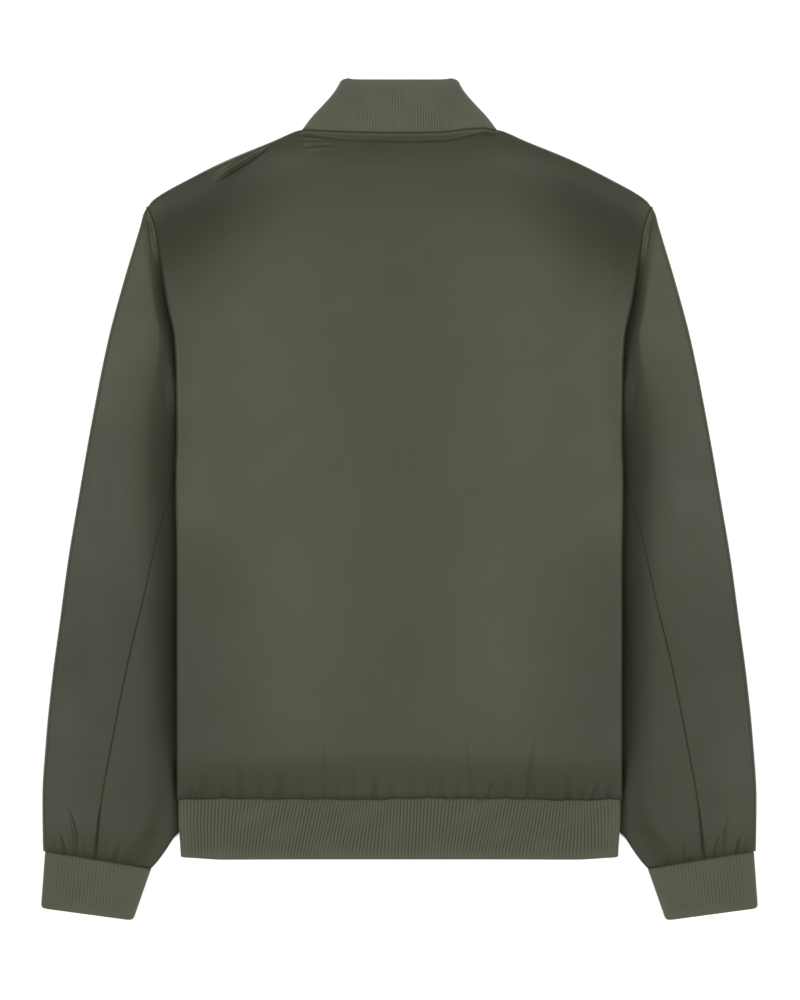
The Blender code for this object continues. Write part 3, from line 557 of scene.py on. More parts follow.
class Grower(Maker):
    """Geometry Nodes tree in the making. Its inputs are given by name and kind."""

    def __init__(self, name, **inputs):
        super().__init__(bpy.data.node_groups.new(name, "GeometryNodeTree"))
        sockets = self.tree.interface
        for socket_name, kind in {"Geometry": "Geometry", **inputs, "Material": "Material"}.items():
            sockets.new_socket(socket_name, in_out="INPUT", socket_type=f"NodeSocket{kind}")
        sockets.new_socket("Geometry", in_out="OUTPUT", socket_type="NodeSocketGeometry")
        self.start = self.tree.nodes.new("NodeGroupInput")
        self.end = self.tree.nodes.new("NodeGroupOutput")

    def given(self, name):
        return Value(self, self.start.outputs[name])

    def mark(self, name):
        """A number that the mesh carries at each point."""
        return self.node("GeometryNodeInputNamedAttribute", {"data_type": "FLOAT"}, {"Name": name})

    def joined(self, parts):
        join = self.tree.nodes.new("GeometryNodeJoinGeometry")
        for part in parts:
            self.tree.links.new(part.socket, join.inputs[0])
        return Value(self, join.outputs[0])

    def copies(self, points, instance, **inputs):
        inputs = {"Points": points, "Instance": instance, **inputs}
        return self.node("GeometryNodeInstanceOnPoints", inputs=inputs)

    def finish(self, geometry):
        real = self.node("GeometryNodeRealizeInstances", inputs={"Geometry": geometry})
        dressed = {"Geometry": real, "Material": self.given("Material")}
        named = self.node("GeometryNodeSetMaterial", inputs=dressed)
        self.tree.links.new(named.socket, self.end.inputs[0])
        return self.tree


def wale_tree():
    """Raises round ribs along the normal, one for each whole step of the wale mark."""
    grow = Grower("rib_wales", Relief="Float")
    height = abs((grow.mark("wale") * math.pi).sine()) ** 0.8 - 0.5
    height = height * grow.mark("rib_share") * grow.given("Relief")
    normal = grow.node("GeometryNodeInputNormal")
    offset = grow.node("ShaderNodeVectorMath", {"operation": "SCALE"}, {0: normal, "Scale": height})
    moved = {"Geometry": grow.given("Geometry"), "Offset": offset}
    return grow.finish(grow.node("GeometryNodeSetPosition", inputs=moved))


def stitch_tree():
    """Lays lockstitches along the edges of a seam line."""
    grow = Grower("seam_stitches", Pitch="Float", Length="Float", Thickness="Float")
    line = grow.node("GeometryNodeMeshToCurve", inputs={"Mesh": grow.given("Geometry")})
    pitch, thickness = grow.given("Pitch"), grow.given("Thickness")
    even = grow.node("GeometryNodeResampleCurve", {"mode": "LENGTH"}, {"Curve": line, "Length": pitch})
    bead = grow.node("GeometryNodeMeshUVSphere", inputs={"Segments": 6, "Rings": 4, "Radius": 0.5})
    size = grow.vector(grow.given("Length"), thickness, thickness)
    tangent = grow.node("GeometryNodeInputTangent")
    turn = grow.node("FunctionNodeAlignEulerToVector", {"axis": "X"}, {"Vector": tangent})
    return grow.finish(grow.copies(even, bead, Rotation=turn, Scale=size))


def teeth_tree():
    """Two rows of interlocked teeth along +Y from the piece's own origin."""
    grow = Grower("zip_teeth", Count="Int", Pitch="Float", Start="Vector", Reach="Float", Height="Float")
    pitch, reach, height = (grow.given(name) for name in ("Pitch", "Reach", "Height"))
    rows = []
    for side in (-1, 1):
        shift = grow.vector(reach * (0.4 * side), pitch * (0.25 + 0.25 * side))
        begin = grow.node("ShaderNodeVectorMath", {"operation": "ADD"}, {0: grow.given("Start"), 1: shift})
        line = grow.node(
            "GeometryNodeMeshLine", {"mode": "OFFSET"},
            {"Count": grow.given("Count"), "Start Location": begin, "Offset": grow.vector(y=pitch)},
        )
        size = grow.vector(reach * 1.1, pitch * 0.46, height)
        foot = grow.node("GeometryNodeMeshCube", inputs={"Size": size})
        size = {"Vertices": 10, "Radius": pitch * 0.36, "Depth": height * 0.96}
        head = grow.node("GeometryNodeMeshCylinder", inputs=size)
        placed = {"Geometry": head, "Translation": grow.vector(reach * (-0.42 * side))}
        head = grow.node("GeometryNodeTransform", inputs=placed)
        rows.append(grow.copies(line, grow.joined([foot, head])))
    return grow.finish(grow.joined(rows))


# ---------------------------------------------------------------- finishes
class Finish(Maker):
    """A material in the making: one Principled shader, with its varying inputs built as values."""

    def __init__(self, name, **constants):
        self.material = bpy.data.materials.new(name)
        self.material.use_nodes = True
        super().__init__(self.material.node_tree)
        self.shader = self.tree.nodes["Principled BSDF"]
        for key, value in constants.items():
            self.shader.inputs[key.replace("_", " ")].default_value = value

    def place(self, source="Object"):
        """Texture coordinates, as a vector."""
        return self.node("ShaderNodeTexCoord", output=source)

    def split(self, vector):
        outputs = self.node("ShaderNodeSeparateXYZ", inputs={0: vector}).socket.node.outputs
        return [Value(self, outputs[axis]) for axis in range(3)]

    def mark(self, name):
        """A number that the mesh carries at each point."""
        return self.node("ShaderNodeAttribute", {"attribute_name": name}, output="Fac")

    def noise(self, vector, scale, detail=2.0, roughness=0.5):
        return self.node(
            "ShaderNodeTexNoise", {"noise_dimensions": "3D"},
            {"Vector": vector, "Scale": scale, "Detail": detail, "Roughness": roughness},
        )

    def blend(self, share, first, second):
        """Mixes two colours, each a tuple or a value."""
        return self.node(
            "ShaderNodeMix", {"data_type": "RGBA"},
            {0: share, 6: opaque(first), 7: opaque(second)}, output=2,
        )

    def bump(self, height, distance, strength=1.0, below=None):
        inputs = {"Height": height, "Distance": distance, "Strength": strength}
        if below is not None:
            inputs["Normal"] = below
        return self.node("ShaderNodeBump", inputs=inputs)

    def apply(self, **values):
        for key, value in values.items():
            self.tree.links.new(value.socket, self.shader.inputs[key.replace("_", " ")])
        return self.material


def opaque(colour):
    return colour if isinstance(colour, Value) else (*colour[:3], 1.0)


def bell(value, middle, width):
    """1 at the middle and falling away on both sides."""
    reach = (value - middle) / width
    return math.e ** (reach * reach * -1.0)


def shell_finish(name, colours, gloss):
    """Olive satin: slanted weave, soft sheen, painted highlights on the full parts and painted shade in
    recesses.
    """
    made = Finish(
        name, Roughness=0.5, Sheen_Weight=gloss.sheen, Sheen_Roughness=0.45,
        Sheen_Tint=opaque(colours.sheen), IOR=1.45, Specular_IOR_Level=gloss.specular,
    )
    place = made.place()
    x, y, _ = made.split(place)
    off_middle = abs(x + 0.004)
    # Painted highlights: two upright lobes on the back and a patch high on each sleeve, mixed with random
    # tone
    slim = bell(off_middle, 0.1, 0.05)
    painted_highlight = slim + (bell(off_middle, 0.125, 0.085) - slim) * y.between(-0.2, 0.05)
    painted_highlight = painted_highlight * y.between(-0.28, -0.16) * (1.0 - y.between(0.2, 0.31))
    painted_highlight = painted_highlight + off_middle.between(0.226, 0.242) * y.between(0.04, 0.15) * 0.9
    cast = made.noise(place, 5.0)
    highlight_and_tone = painted_highlight * 0.75 + cast * 0.35 - 0.1
    tone = made.blend(highlight_and_tone, colours.shell, colours.shell_painted_light_and_ply)
    weave = ((x + y * 0.5) * (TURN / WEAVE_PITCH)).sine() * 0.5
    cross = (y * (TURN / WEFT_PITCH)).sine() * 0.5
    thread = weave + cross * 0.4
    shade = made.blend(thread * 0.04 + made.noise(place, 260.0, 3.0, 0.6) * 0.06, tone, colours.shell_deep)
    # Painted shade: the mesh's mark mixes the dark shade colour into valleys, hollows, creases and seams
    recess = made.mark("recess")
    shade = made.blend(recess, shade, colours.shell_painted_shade)
    ripple = made.noise(place, 42.0, 3.0, 0.55)
    soft = made.bump(ripple, 0.00045, 0.5)
    normal = made.bump(thread, 0.00002, 0.5, below=soft)
    rough = made.noise(place, 24.0) * 0.12 + (gloss.roughness - 0.06) + recess * 0.5
    return made.apply(Base_Color=shade, Roughness=rough, Normal=normal)


def knit_finish(name, colours):
    """Rib knit: columns of small V stitches on each rib, matt, with painted shade between the ribs, at the
    cuffs' sides and along the seams.
    """
    made = Finish(
        name, Roughness=0.85, Sheen_Weight=0.35, Sheen_Roughness=0.5,
        Sheen_Tint=opaque(colours.sheen), Specular_IOR_Level=0.35,
    )
    u, v, _ = made.split(made.place("UV"))
    place = made.place()
    across = abs(u.fraction() - 0.5)
    groove = across.between(0.22, 0.5)
    slant = abs((u * 2.0).fraction() - 0.5)
    loop = ((v / LOOP_PITCH + slant * 1.1) * TURN).sine()
    yarn = loop * 0.5 + 0.5
    fuzz = made.noise(place, 900.0, 2.0, 0.6)
    x, y, _ = made.split(place)
    collar, off_middle = y.between(0.33, 0.352), abs(x)
    tone = made.blend(collar * 0.8 + made.noise(place, 6.0) * 0.3, colours.rib, colours.rib_light)
    # Painted shade towards the cuffs' outer sides
    tone = made.blend(off_middle.between(0.29, 0.345) * 0.16, tone, colours.rib_painted_shade)
    # Painted shade in the grooves between the ribs, and a darker loop pattern
    tone = made.blend(groove * made.mark("rib_share") + (1.0 - yarn) * 0.12, tone, colours.rib_painted_shade)
    # Painted shade along the seams, stronger at the cuffs and the collar
    drawn = (off_middle.between(0.215, 0.23) + y.between(0.3, 0.33)) * 0.4 + 0.12
    tone = made.blend((1.0 - v.between(0.0, 0.0009)) * drawn, tone, colours.shell_painted_shade)
    height = yarn * 0.6 + fuzz * 0.5 - slant * 0.6
    normal = made.bump(height, 0.00012, 0.7)
    return made.apply(Base_Color=tone, Roughness=fuzz * 0.1 + 0.8, Normal=normal)


def tape_finish(name, colours):
    """Zip tape: flat herringbone weave, matt."""
    made = Finish(name, Roughness=0.8, Specular_IOR_Level=0.3)
    x, y, _ = made.split(made.place())
    slant = abs((abs(x) / HERRINGBONE).fraction() - 0.5) * HERRINGBONE
    rows = (((y + slant) / TAPE_ROW) * TURN).sine()
    tone = made.blend(rows * 0.25 + 0.3, colours.tape, colours.rib)
    return made.apply(Base_Color=tone, Normal=made.bump(rows, 0.00006, 0.7))


def metal_finish(name, colours):
    """Zip metal: satin plate, brushed along its length and rubbed brighter in places."""
    made = Finish(name, Roughness=0.3, Metallic=1.0)
    place = made.place()
    x, y, _ = made.split(place)
    streak = made.noise(made.vector(x * 2600.0, y * 90.0), 1.0, 2.0, 0.6)
    rubbed = made.noise(place, 320.0).between(0.45, 0.7)
    tone = made.blend(rubbed * 0.6, colours.metal, colours.metal_bright)
    rough = streak * 0.16 + 0.22 - rubbed * 0.04
    return made.apply(Base_Color=tone, Roughness=rough, Normal=made.bump(streak, 0.00001, 0.5))


def thread_finish(name, colours):
    """Sewing thread: two plies wound round each other."""
    made = Finish(name, Roughness=0.6, Sheen_Weight=0.3, Specular_IOR_Level=0.4)
    x, y, z = made.split(made.place())
    ply = ((x + y + z) * (TURN / PLY_PITCH)).sine()
    # The lighter ply uses the shell's painted highlight colour as its own tone
    tone = made.blend(ply * 0.3 + 0.4, colours.thread, colours.shell_painted_light_and_ply)
    return made.apply(Base_Color=tone, Normal=made.bump(ply, 0.00004, 0.8))


def floor_finish(name, colour):
    """Plain pale studio paper, faintly lit from below."""
    made = Finish(
        name, Roughness=0.9, Specular_IOR_Level=0.1, Emission_Strength=0.5, Emission_Color=opaque(colour)
    )
    tone = made.blend(made.noise(made.place(), 3.0) * 0.1, colour, [c * 0.985 for c in colour])
    return made.apply(Base_Color=tone)


# ---------------------------------------------------------------- body
def body_half(y):
    return along(BODY_SIDE, y)


def lift(x, y, ramp=LIFT_RAMP):
    """Height of the ground under a laid piece: the tucked sleeve holds it up."""
    height = along(LIFTED, y, 2)
    plateau = along(LIFTED, y, 1)
    return height * ease((np.abs(x) - plateau + ramp) / ramp)


def drape_lift(x, y):
    """Lift of the padded back and of the band, which bridge the hollow beside the tucked sleeve."""
    full = along(LIFTED, y, 2)
    settling = along(LIFTED, DRAPE_FULL_Y, 2) * ease((DRAPE_END_Y - y) / (DRAPE_END_Y - DRAPE_FULL_Y))
    height = np.where(y < DRAPE_FULL_Y, full, settling)
    return height * ease((np.abs(x) - along(LIFTED, y, 1) + DRAPE_RAMP) / DRAPE_RAMP)


def edge_radius(y):
    """Half the padded body's thickness at its sides: slimmer at the hem seam and the shoulder."""
    from_hem = ease((y - HEM_SEAM_Y) / 42.0)
    return mix(FOLD, SIDE_FOLD, from_hem * ease((SHOULDER_END_Y - y) / 70.0))


def hem_seam_wave(x):
    """The hem seam is drawn up unevenly by its gathers."""
    return waves(HEM_WAVES, x)


def back_neck(x):
    """The back neckline, which rides up a little on the right."""
    ridden = 2.2 * ramp(x, 38.0, 72.0) * ease((NECK_HALF - x) / 9.0)
    return BACK_NECK_Y + BACK_NECK_RISE * (x / NECK_HALF) ** 2 + ridden


def front_neck(x):
    return NECK_POINT_Y - FRONT_NECK_DROP * np.maximum(0.0, 1.0 - (x / NECK_HALF) ** 2)


def top_line(x, neck):
    """Upper edge of a body panel: neckline, then shoulder."""
    edge = neck(np.full_like(x, NECK_HALF)) - SEAM
    shoulder = np.minimum(edge, along(SHOULDER, np.abs(x)))
    return np.where(np.abs(x) < NECK_HALF, neck(x) - SEAM, shoulder)


def neck_share(x):
    return 1.0 - ease((np.abs(x) - NECK_HALF) / NECK_TURN)


def seam_angle(y, armhole_angle):
    """Where round the edge fold a panel ends: on top at the side, and spread open at the armhole."""
    below = SIDE_SEAM * ease((UNDERARM_Y - y) / SEAM_TURN_DOWN)
    above = armhole_angle * ease((y - UNDERARM_Y) / SEAM_TURN_UP)
    return np.where(y <= UNDERARM_Y, below, above)


def fold_centre(y, angle):
    reach = edge_radius(y) * np.where(y <= UNDERARM_Y, 1.0, np.cos(angle))
    return body_half(y) - SEAM - SIDE_REACH * reach


def back_puff(x, y, top_y, size):
    """How far the padded back stands up over its flat laid thickness."""
    inside = body_half(y) - FOLD - np.abs(x)
    side = pillow(inside / mix(*PUFF_SIDE, ease((UNDERARM_Y - y) / 150.0)))
    off_neck = ramp(np.abs(x), 50.0, 140.0)
    below = top_y - y
    at_shoulder = 0.5 * ramp(np.abs(x), 97.0, 127.0)
    top = mix(pillow((below - FOLD) / mix(*PUFF_NECK, off_neck)), 1.0, at_shoulder)
    rise, off_middle = y - HEM_SEAM_Y + 1.5, ease(np.abs(x) / 130.0)
    bottom = mix(0.35, 0.0, off_middle) * pillow(rise / 9.0)
    bottom = bottom + mix(0.65, 1.0, off_middle) * pillow(rise / mix(*PUFF_HEM, off_middle))
    spread = 1.0 - LOBE_RELIEF + LOBE_RELIEF * np.cos(2 * math.pi * (np.abs(x) / LOBE_PITCH - 0.5))
    settle = 1.0 - LOW_SIDE_SETTLE * ramp(np.abs(x), 100.0, 190.0) * ease((UNDERARM_Y + 20.0 - y) / 80.0)
    hollow = shoulder_hollow(HOLLOW, x, below) * ease(inside / 12.0)
    return size * spread * settle * side * top * bottom - hollow


def drape(x, y):
    """Slow unevenness of padded cloth that lies slack."""
    slow = 0.45 * np.sin(x / 31.0 + y / 74.0 + 0.6) * np.sin(y / 96.0 + 1.1)
    return slow + 0.3 * np.sin(x / 19.0 - y / 118.0 + 2.0) * np.sin(y / 63.0 + x / 140.0)


def gather_depth(x, y):
    """Depth of the gathers above the hem seam, the long ones and the small puckers between."""
    rise = y - HEM_SEAM_Y - hem_seam_wave(x)
    total = np.zeros_like(x)
    for row in HEM_GATHERS:
        middle = mix(row.foot, row.head, rise / row.length)
        fade = ease(1.0 - rise / row.length)
        total += row.depth * fade * trough(x - middle, row.width * (1 + 0.6 * rise / row.length), 0.35)
    pucker = np.sin(x / 2.1 + 1.4 * np.sin(x / 23.0)) * (0.6 + 0.4 * np.sin(x / 11.0))
    return total + 0.5 * pucker * ease(1.0 - rise / (8.0 + 4.0 * np.sin(x / 17.0)))


def tape_ends(x):
    return ease((TAPE_END - np.abs(x)) / 4.0)


def neck_tape(x, y, top_y):
    """The seam allowance under the collar, turned down and stitched, is a raised band."""
    below = top_y - y
    inside = ease((along(NECK_TAPE, x) - below) / TAPE_STEP) * tape_ends(x)
    return TAPE_THICK * inside - tape_groove(x, below)


def tape_groove(x, below):
    """The stitched groove along the seam allowance's lower edge."""
    return near(below - along(NECK_TAPE, x) - TAPE_GROOVE_AT, TAPE_GROOVE) * tape_ends(x)


def body_surface(columns, levels, upper, sizes):
    """Outer face of the back (upper) or of a front, and the painted shade it carries.

    columns are signed places: 0 at the middle, 1 at the side fold, 2 at the seam.
    levels are pairs: y as far as the shoulder fold, and then 0 to 1 round that fold.
    """
    side = np.where(columns < 0, -1.0, 1.0)[None, :]
    across = np.abs(columns)[None, :]
    level, over = levels[:, 0][:, None], levels[:, 1][:, None]
    turn = np.maximum(0.0, across - 1.0)
    folded = across > 1.0
    rounding = over > 0.0
    armhole = ARMHOLE_FOLD if upper else ARMHOLE_UNDER
    bottom = HEM_SEAM_Y + SEAM
    share = (level - bottom) / (SHOULDER_END_Y - bottom)
    edge = seam_angle(level, armhole)
    flat_angle = math.pi / 2 if upper else -math.pi / 2
    angle = mix(flat_angle, edge, turn)
    start = 0.0 if upper else FRONT_EDGE
    radius = edge_radius(level)
    x = mix(start, fold_centre(level, edge), np.minimum(across, 1.0))
    x = x + SIDE_REACH * radius * np.cos(angle) * folded
    end_edge = np.full_like(edge, armhole)
    x_top = mix(start, fold_centre(np.full_like(level, SHOULDER_END_Y), end_edge), np.minimum(across, 1.0))
    x_top = x_top + SIDE_REACH * FOLD * np.cos(angle) * folded
    flat = neck_share(x_top)
    neck = back_neck if upper else front_neck
    lean = SHOULDER_SLOPE * (1.0 - flat)
    fold_y = top_line(side * (x_top + FOLD * np.sin(lean)), neck) - FOLD * np.cos(lean)
    y = mix(bottom, fold_y, share)
    shoulder = math.pi / 2 * (1.0 - over)
    reach = FOLD * np.cos(shoulder) * rounding
    x = x + reach * np.sin(lean)
    y = y + reach * np.cos(lean)
    rise = y - HEM_SEAM_Y
    y = y + hem_seam_wave(side * x) * (1.0 - ease(rise / 40.0))
    ground = lift(x, y)
    if upper:
        ground = mix(drape_lift(x, y), ground, ease(turn * 2.0))
    z = ground + radius + radius * np.sin(angle) * mix(np.sin(shoulder), 1.0, flat)
    gap = SEAM if upper else -SEAM
    z = z + gap * np.cos(shoulder) * rounding * (1.0 - flat)
    z = z + gap * np.cos(angle) * turn * ~rounding
    x = x - gap * np.sin(angle) * turn
    if upper:
        top_y = fold_y + FOLD
        inside = ~folded * np.sin(shoulder)
        soft = ease((body_half(y) - FOLD - x) / 30.0) * ease((top_y - y) / 30.0)
        z = z + back_puff(x, y, top_y, sizes.back_puff / MM) * inside
        z = z + drape(side * x, y) * soft * inside
        gathered = gather_depth(side * x, y) * ease(2.0 - across)
        gathered = gathered + folds(HEM_CREASES, side * x, y, from_start=True) * ~folded
        creased = folds(BACK_FOLDS, side * x, y) - shoulder_strip(side * x, y)
        z = z - gathered - creased * (1.0 - over) * (1.0 - turn)
        z = z + neck_tape(side * x, y, top_y)
    else:
        z = z + STITCH_GROOVE * near(x - FRONT_EDGE - STITCH_LINE, 1.5) * ~folded
        pressed = folds(FRONT_CREASES, side * x, y) + 0.5 * gather_depth(side * x, y)
        z = z + np.maximum(pressed, 0.0) * ~folded * ease((x - FRONT_EDGE - 12.0) / 10.0)
    # Painted shade: near the hem seam, and on the back in the shoulder hollows, the tape's groove, the
    # gathers, under the collar and in the shoulder's crease
    recess = HEM_SHADE * near(rise, 6.0) * np.ones_like(z)
    if upper:
        pressed = TAPE_SHADE - TAPE_EASED * near(side * x - TAPE_EASED_X, 12.0)
        recess = recess + shoulder_painted_shade(x, y, top_y) + pressed * tape_groove(side * x, top_y - y)
        recess = recess + GATHER_SHADE * np.maximum(gathered, 0.0)
        recess = recess + NECK_SHADE * near(top_y - y, 0.9) * flat + crease_painted_shade(side * x, y)
    return np.stack([side * x, y, z], axis=-1), recess


def sleeve_painted_shade(x, y):
    """Painted shade on a sleeve: dark in the valley beside the body, and soft on its lower part."""
    away = np.abs(x) - body_half(y)
    width, depth, spread, shade = (along(VALLEY_SHADE, y, column) for column in (1, 2, 3, 4))
    gap = depth * np.exp(-np.clip(away / width, 0.0, None) ** 3)
    soft = shade * np.exp(-np.clip(away / spread, 0.0, None) ** 2)
    wide = 0.1 * near(away, 48.0) * ramp(y, 150.0, 50.0)
    low = (LOW_SHADE - patch(LOW_SLEEVE, x, y)) * ease(-y / 150.0)
    return 1.0 - (1.0 - gap) * (1.0 - soft) + wide + low


def patch(row, x, y):
    return row.depth * ramp(np.abs(x), row.from_x, row.to_x) * ramp(y, row.from_y, row.to_y)


def shoulder_hollow(row, x, below):
    reach = np.where(below < row.below, row.above_reach, row.under_reach)
    return row.depth * near(below - row.below, reach) * ease((np.abs(x) - row.from_x) / row.over)


def shoulder_painted_shade(x, y, top_y):
    """Painted shade in the hollow below each shoulder, near the hem at the sides, and on the slack low sides.
    """
    drawn = 0.12 * near(y - HEM_SEAM_Y, 22.0) * ramp(np.abs(x), 80.0, 170.0)
    return shoulder_hollow(HOLLOW_SHADE, x, top_y - y) + patch(SLACK_SIDE_SHADE, x, y) + drawn


def shoulder_strip(x, y):
    """The strip above the shoulder's crease stands up in a low roll."""
    share, offset = beside(SHOULDER_CREASE, x, y)
    return STRIP_ROLL * ease(share / 0.3) * ramp(share, 1.0, 0.5) * near(offset + STRIP_OFF, 5.0)


def crease_painted_shade(x, y):
    """Painted shade in the shoulder's crease and under it, and none on the strip above it."""
    share, offset = beside(SHOULDER_CREASE, x, y)
    along_it = ease(share / 0.3) * ramp(share, 1.0, 0.65)
    strip = ease(-offset / 1.5) * ease((16.0 + offset) / 5.0)
    line = 0.4 * near(offset - 0.4, 1.3) + 0.1 * ease(offset) * near(offset, 12.0)
    return along_it * (line - 0.3 * strip)


def seam_shade(away):
    """Cloth drawn into a seam is in shade close to it."""
    return 0.55 * near(away, 1.0) + 0.08 * near(away, 5.0)


def body_levels(finest, fine, coarse):
    """(y, over) pairs from the hem seam to the end of the shoulder fold."""
    rise = spaced(
        (HEM_SEAM_Y + SEAM, HEM_SEAM_Y + 70.0, fine), (HEM_SEAM_Y + 70.0, 190.0, coarse),
        (190.0, SHOULDER_END_Y - TOP_STRETCH, fine),
        (SHOULDER_END_Y - TOP_STRETCH, SHOULDER_END_Y, finest),
    )
    flat = [(y, 0.0) for y in rise]
    return np.array(flat + [(SHOULDER_END_Y, share) for share in (0.18, 0.36, 0.54, 0.7, 0.85, 1.0)])


# ---------------------------------------------------------------- sizes and colours
def length_property(name, description, default, low=0.0):
    return bpy.props.FloatProperty(
        name=name, description=description, default=default, min=low, unit="LENGTH"
    )


def share_property(name, description, default):
    return bpy.props.FloatProperty(name=name, description=description, default=default, min=0.0, max=1.0)


def colour_property(name, description, default):
    return bpy.props.FloatVectorProperty(
        name=name, description=description, default=default, size=3, min=0.0, max=1.0, subtype="COLOR"
    )


class JacketSizes(bpy.types.PropertyGroup):
    """Sizes that a maker would change, in metres."""

    shell_thickness: length_property("Shell thickness", "Wall of the padded satin shell", 0.0013, 0.0003)
    knit_thickness: length_property("Knit thickness", "Wall of the doubled rib knit", 0.0026, 0.001)
    back_puff: length_property("Back puff", "How far the padding lifts the back", 0.0065)
    sleeve_crown: length_property("Sleeve crown", "How far the padding lifts a sleeve", 0.0085)
    rib_pitch: length_property("Rib pitch", "Distance from one rib to the next", 0.0032, 0.001)
    rib_relief: length_property("Rib relief", "Height of a rib over its groove", 0.0009)
    stitch_pitch: length_property("Stitch pitch", "Distance from one stitch to the next", 0.0028, 0.001)
    stitch_width: length_property("Stitch width", "Thickness of the sewing thread", 0.0005, 0.0001)
    tooth_pitch: length_property("Tooth pitch", "Distance from one zip tooth to the next", 0.0024, 0.001)
    camera_height: length_property("Camera height", "Distance of the camera over the laid jacket", 3.2, 1.0)
    view_length: length_property("View length", "Length that fills the view's long side", 0.95, 0.1)


class JacketColours(bpy.types.PropertyGroup):
    """Colours and gloss of the finishes."""

    shell: colour_property("Shell", "Satin shell", (0.045, 0.049, 0.0265))
    # Painted highlight colour of the shell's full parts and upper sleeves; also the lighter ply of the thread
    shell_painted_light_and_ply: colour_property("Shell, full", "Greener cast of the full parts", (0.057, 0.0615, 0.031))
    shell_deep: colour_property("Shell, between threads", "Shade between the threads", (0.028, 0.031, 0.016))
    # Painted shade colour, mixed into the shell's valleys, hollows, creases and seams, and along the knit's
    # seams
    shell_painted_shade: colour_property("Shell, recesses", "Where the cloth is tucked away", (0.006, 0.0068, 0.001))
    sheen: colour_property("Sheen", "Sheen of satin and knit", (0.80, 0.85, 0.68))
    rib: colour_property("Rib", "Rib knit", (0.088, 0.093, 0.058))
    rib_light: colour_property("Rib, raised", "Collar and lighter patches", (0.104, 0.109, 0.0805))
    # Painted shade colour of the knit: between the ribs and at the cuffs' outer sides
    rib_painted_shade: colour_property("Rib groove", "Between two ribs", (0.038, 0.042, 0.022))
    tape: colour_property("Zip tape", "Woven tape of the zip", (0.040, 0.043, 0.032))
    metal: colour_property("Zip metal", "Plated teeth, slider and pull", (0.30, 0.29, 0.27))
    metal_bright: colour_property("Rubbed metal", "Where the plate is rubbed", (0.52, 0.50, 0.46))
    thread: colour_property("Thread", "Sewing thread", (0.034, 0.037, 0.024))
    floor: colour_property("Floor", "Studio paper", (0.93, 0.93, 0.93))
    sheen_weight: share_property("Satin sheen", "Strength of the satin's soft sheen", 0.12)
    specular: share_property("Satin gloss", "Strength of the satin's gloss", 0.38)
    satin_roughness: share_property("Satin roughness", "Spread of the satin's gloss", 0.52)


Gloss = namedtuple("Gloss", "sheen specular roughness")


def finish_named(name):
    """Each finish is made once, when its first piece asks for it."""
    if name in bpy.data.materials:
        return bpy.data.materials[name]
    colours = bpy.context.scene.jacket_colours
    gloss = Gloss(colours.sheen_weight, colours.specular, colours.satin_roughness)
    makers = {
        "satin_finish": lambda: shell_finish(name, colours, gloss),
        "knit_finish": lambda: knit_finish(name, colours),
        "tape_finish": lambda: tape_finish(name, colours),
        "metal_finish": lambda: metal_finish(name, colours),
        "thread_finish": lambda: thread_finish(name, colours),
        "floor_finish": lambda: floor_finish(name, tuple(colours.floor)),
    }
    return makers[name]()


# ---------------------------------------------------------------- operators
def lay_shell(name, surface, node):
    """Makes one shell piece from its surface and lays it in place of its solid."""
    points, recess = surface
    # The mesh carries its painted shade as a mark, which the satin finish reads
    mesh = mesh_from_grid(name, points, marks=[("recess", recess)])
    piece = add_piece(name, mesh, finish_named("satin_finish"))
    thicken(piece, bpy.context.scene.jacket_sizes.shell_thickness)
    lay(piece, node)


class JACKET_OT_back(bpy.types.Operator):
    """Lays the padded back panel"""

    bl_idname = "jacket.back"
    bl_label = "Back"

    def execute(self, context):
        half = spaced((0.0, 185.0, 2.1), (185.0, 207.0, 1.1)) / 207.0
        turn = np.linspace(1.0, 2.0, 9)[1:]
        columns = np.concatenate([-turn[::-1], -half[:0:-1], half, turn])
        surface = body_surface(columns, body_levels(0.7, 2.2, 4.2), True, context.scene.jacket_sizes)
        lay_shell("back_cloth", surface, "back_panel")
        return {"FINISHED"}


class JACKET_OT_fronts(bpy.types.Operator):
    """Lays the two fronts under the back"""

    bl_idname = "jacket.fronts"
    bl_label = "Fronts"

    def execute(self, context):
        middle = 2.4 * STITCH_LINE / 200.0
        places = np.concatenate([
            np.linspace(0.0, middle, 14, endpoint=False), np.linspace(middle, 1.0, 90),
            np.linspace(1.0, 2.0, 9)[1:],
        ])
        for name, side in SIDES:
            columns = places * side
            columns[0] = side * 1e-9  # keeps its side
            surface = body_surface(columns, body_levels(3.0, 3.2, 6.0), False, context.scene.jacket_sizes)
            lay_shell(f"front_{name}_cloth", surface, f"front_{name}")
        return {"FINISHED"}


# ---------------------------------------------------------------- sleeves
def sleeve_ends(s):
    """Outer and inner end of sleeve sections in plan, for the side at plus X."""
    index = range(len(SLEEVE_SECTIONS))
    outer_y = along([(k, SLEEVE_SECTIONS[k].outer_y) for k in index], s)
    inner_y = along([(k, SLEEVE_SECTIONS[k].inner_y) for k in index], s)
    outer_x = along(SLEEVE_OUTER, outer_y)
    inner_x = np.where(inner_y > UNDERARM_Y, body_half(inner_y) + SEAM, along(SLEEVE_INNER, inner_y))
    return outer_x, outer_y, inner_x, inner_y


def sleeve_seam(ends, table_share):
    """Distance from the outer end to the seam, along each section."""
    outer_x, outer_y, inner_x, inner_y = ends
    length = np.hypot(inner_x - outer_x, inner_y - outer_y)
    share = np.full_like(length, 0.5)
    for _ in range(4):
        y = mix(outer_y, inner_y, share)
        seam_x = mix(inner_x, along(SLEEVE_SEAM, y), table_share)
        share = (seam_x - outer_x) / (inner_x - outer_x)
    return share * length


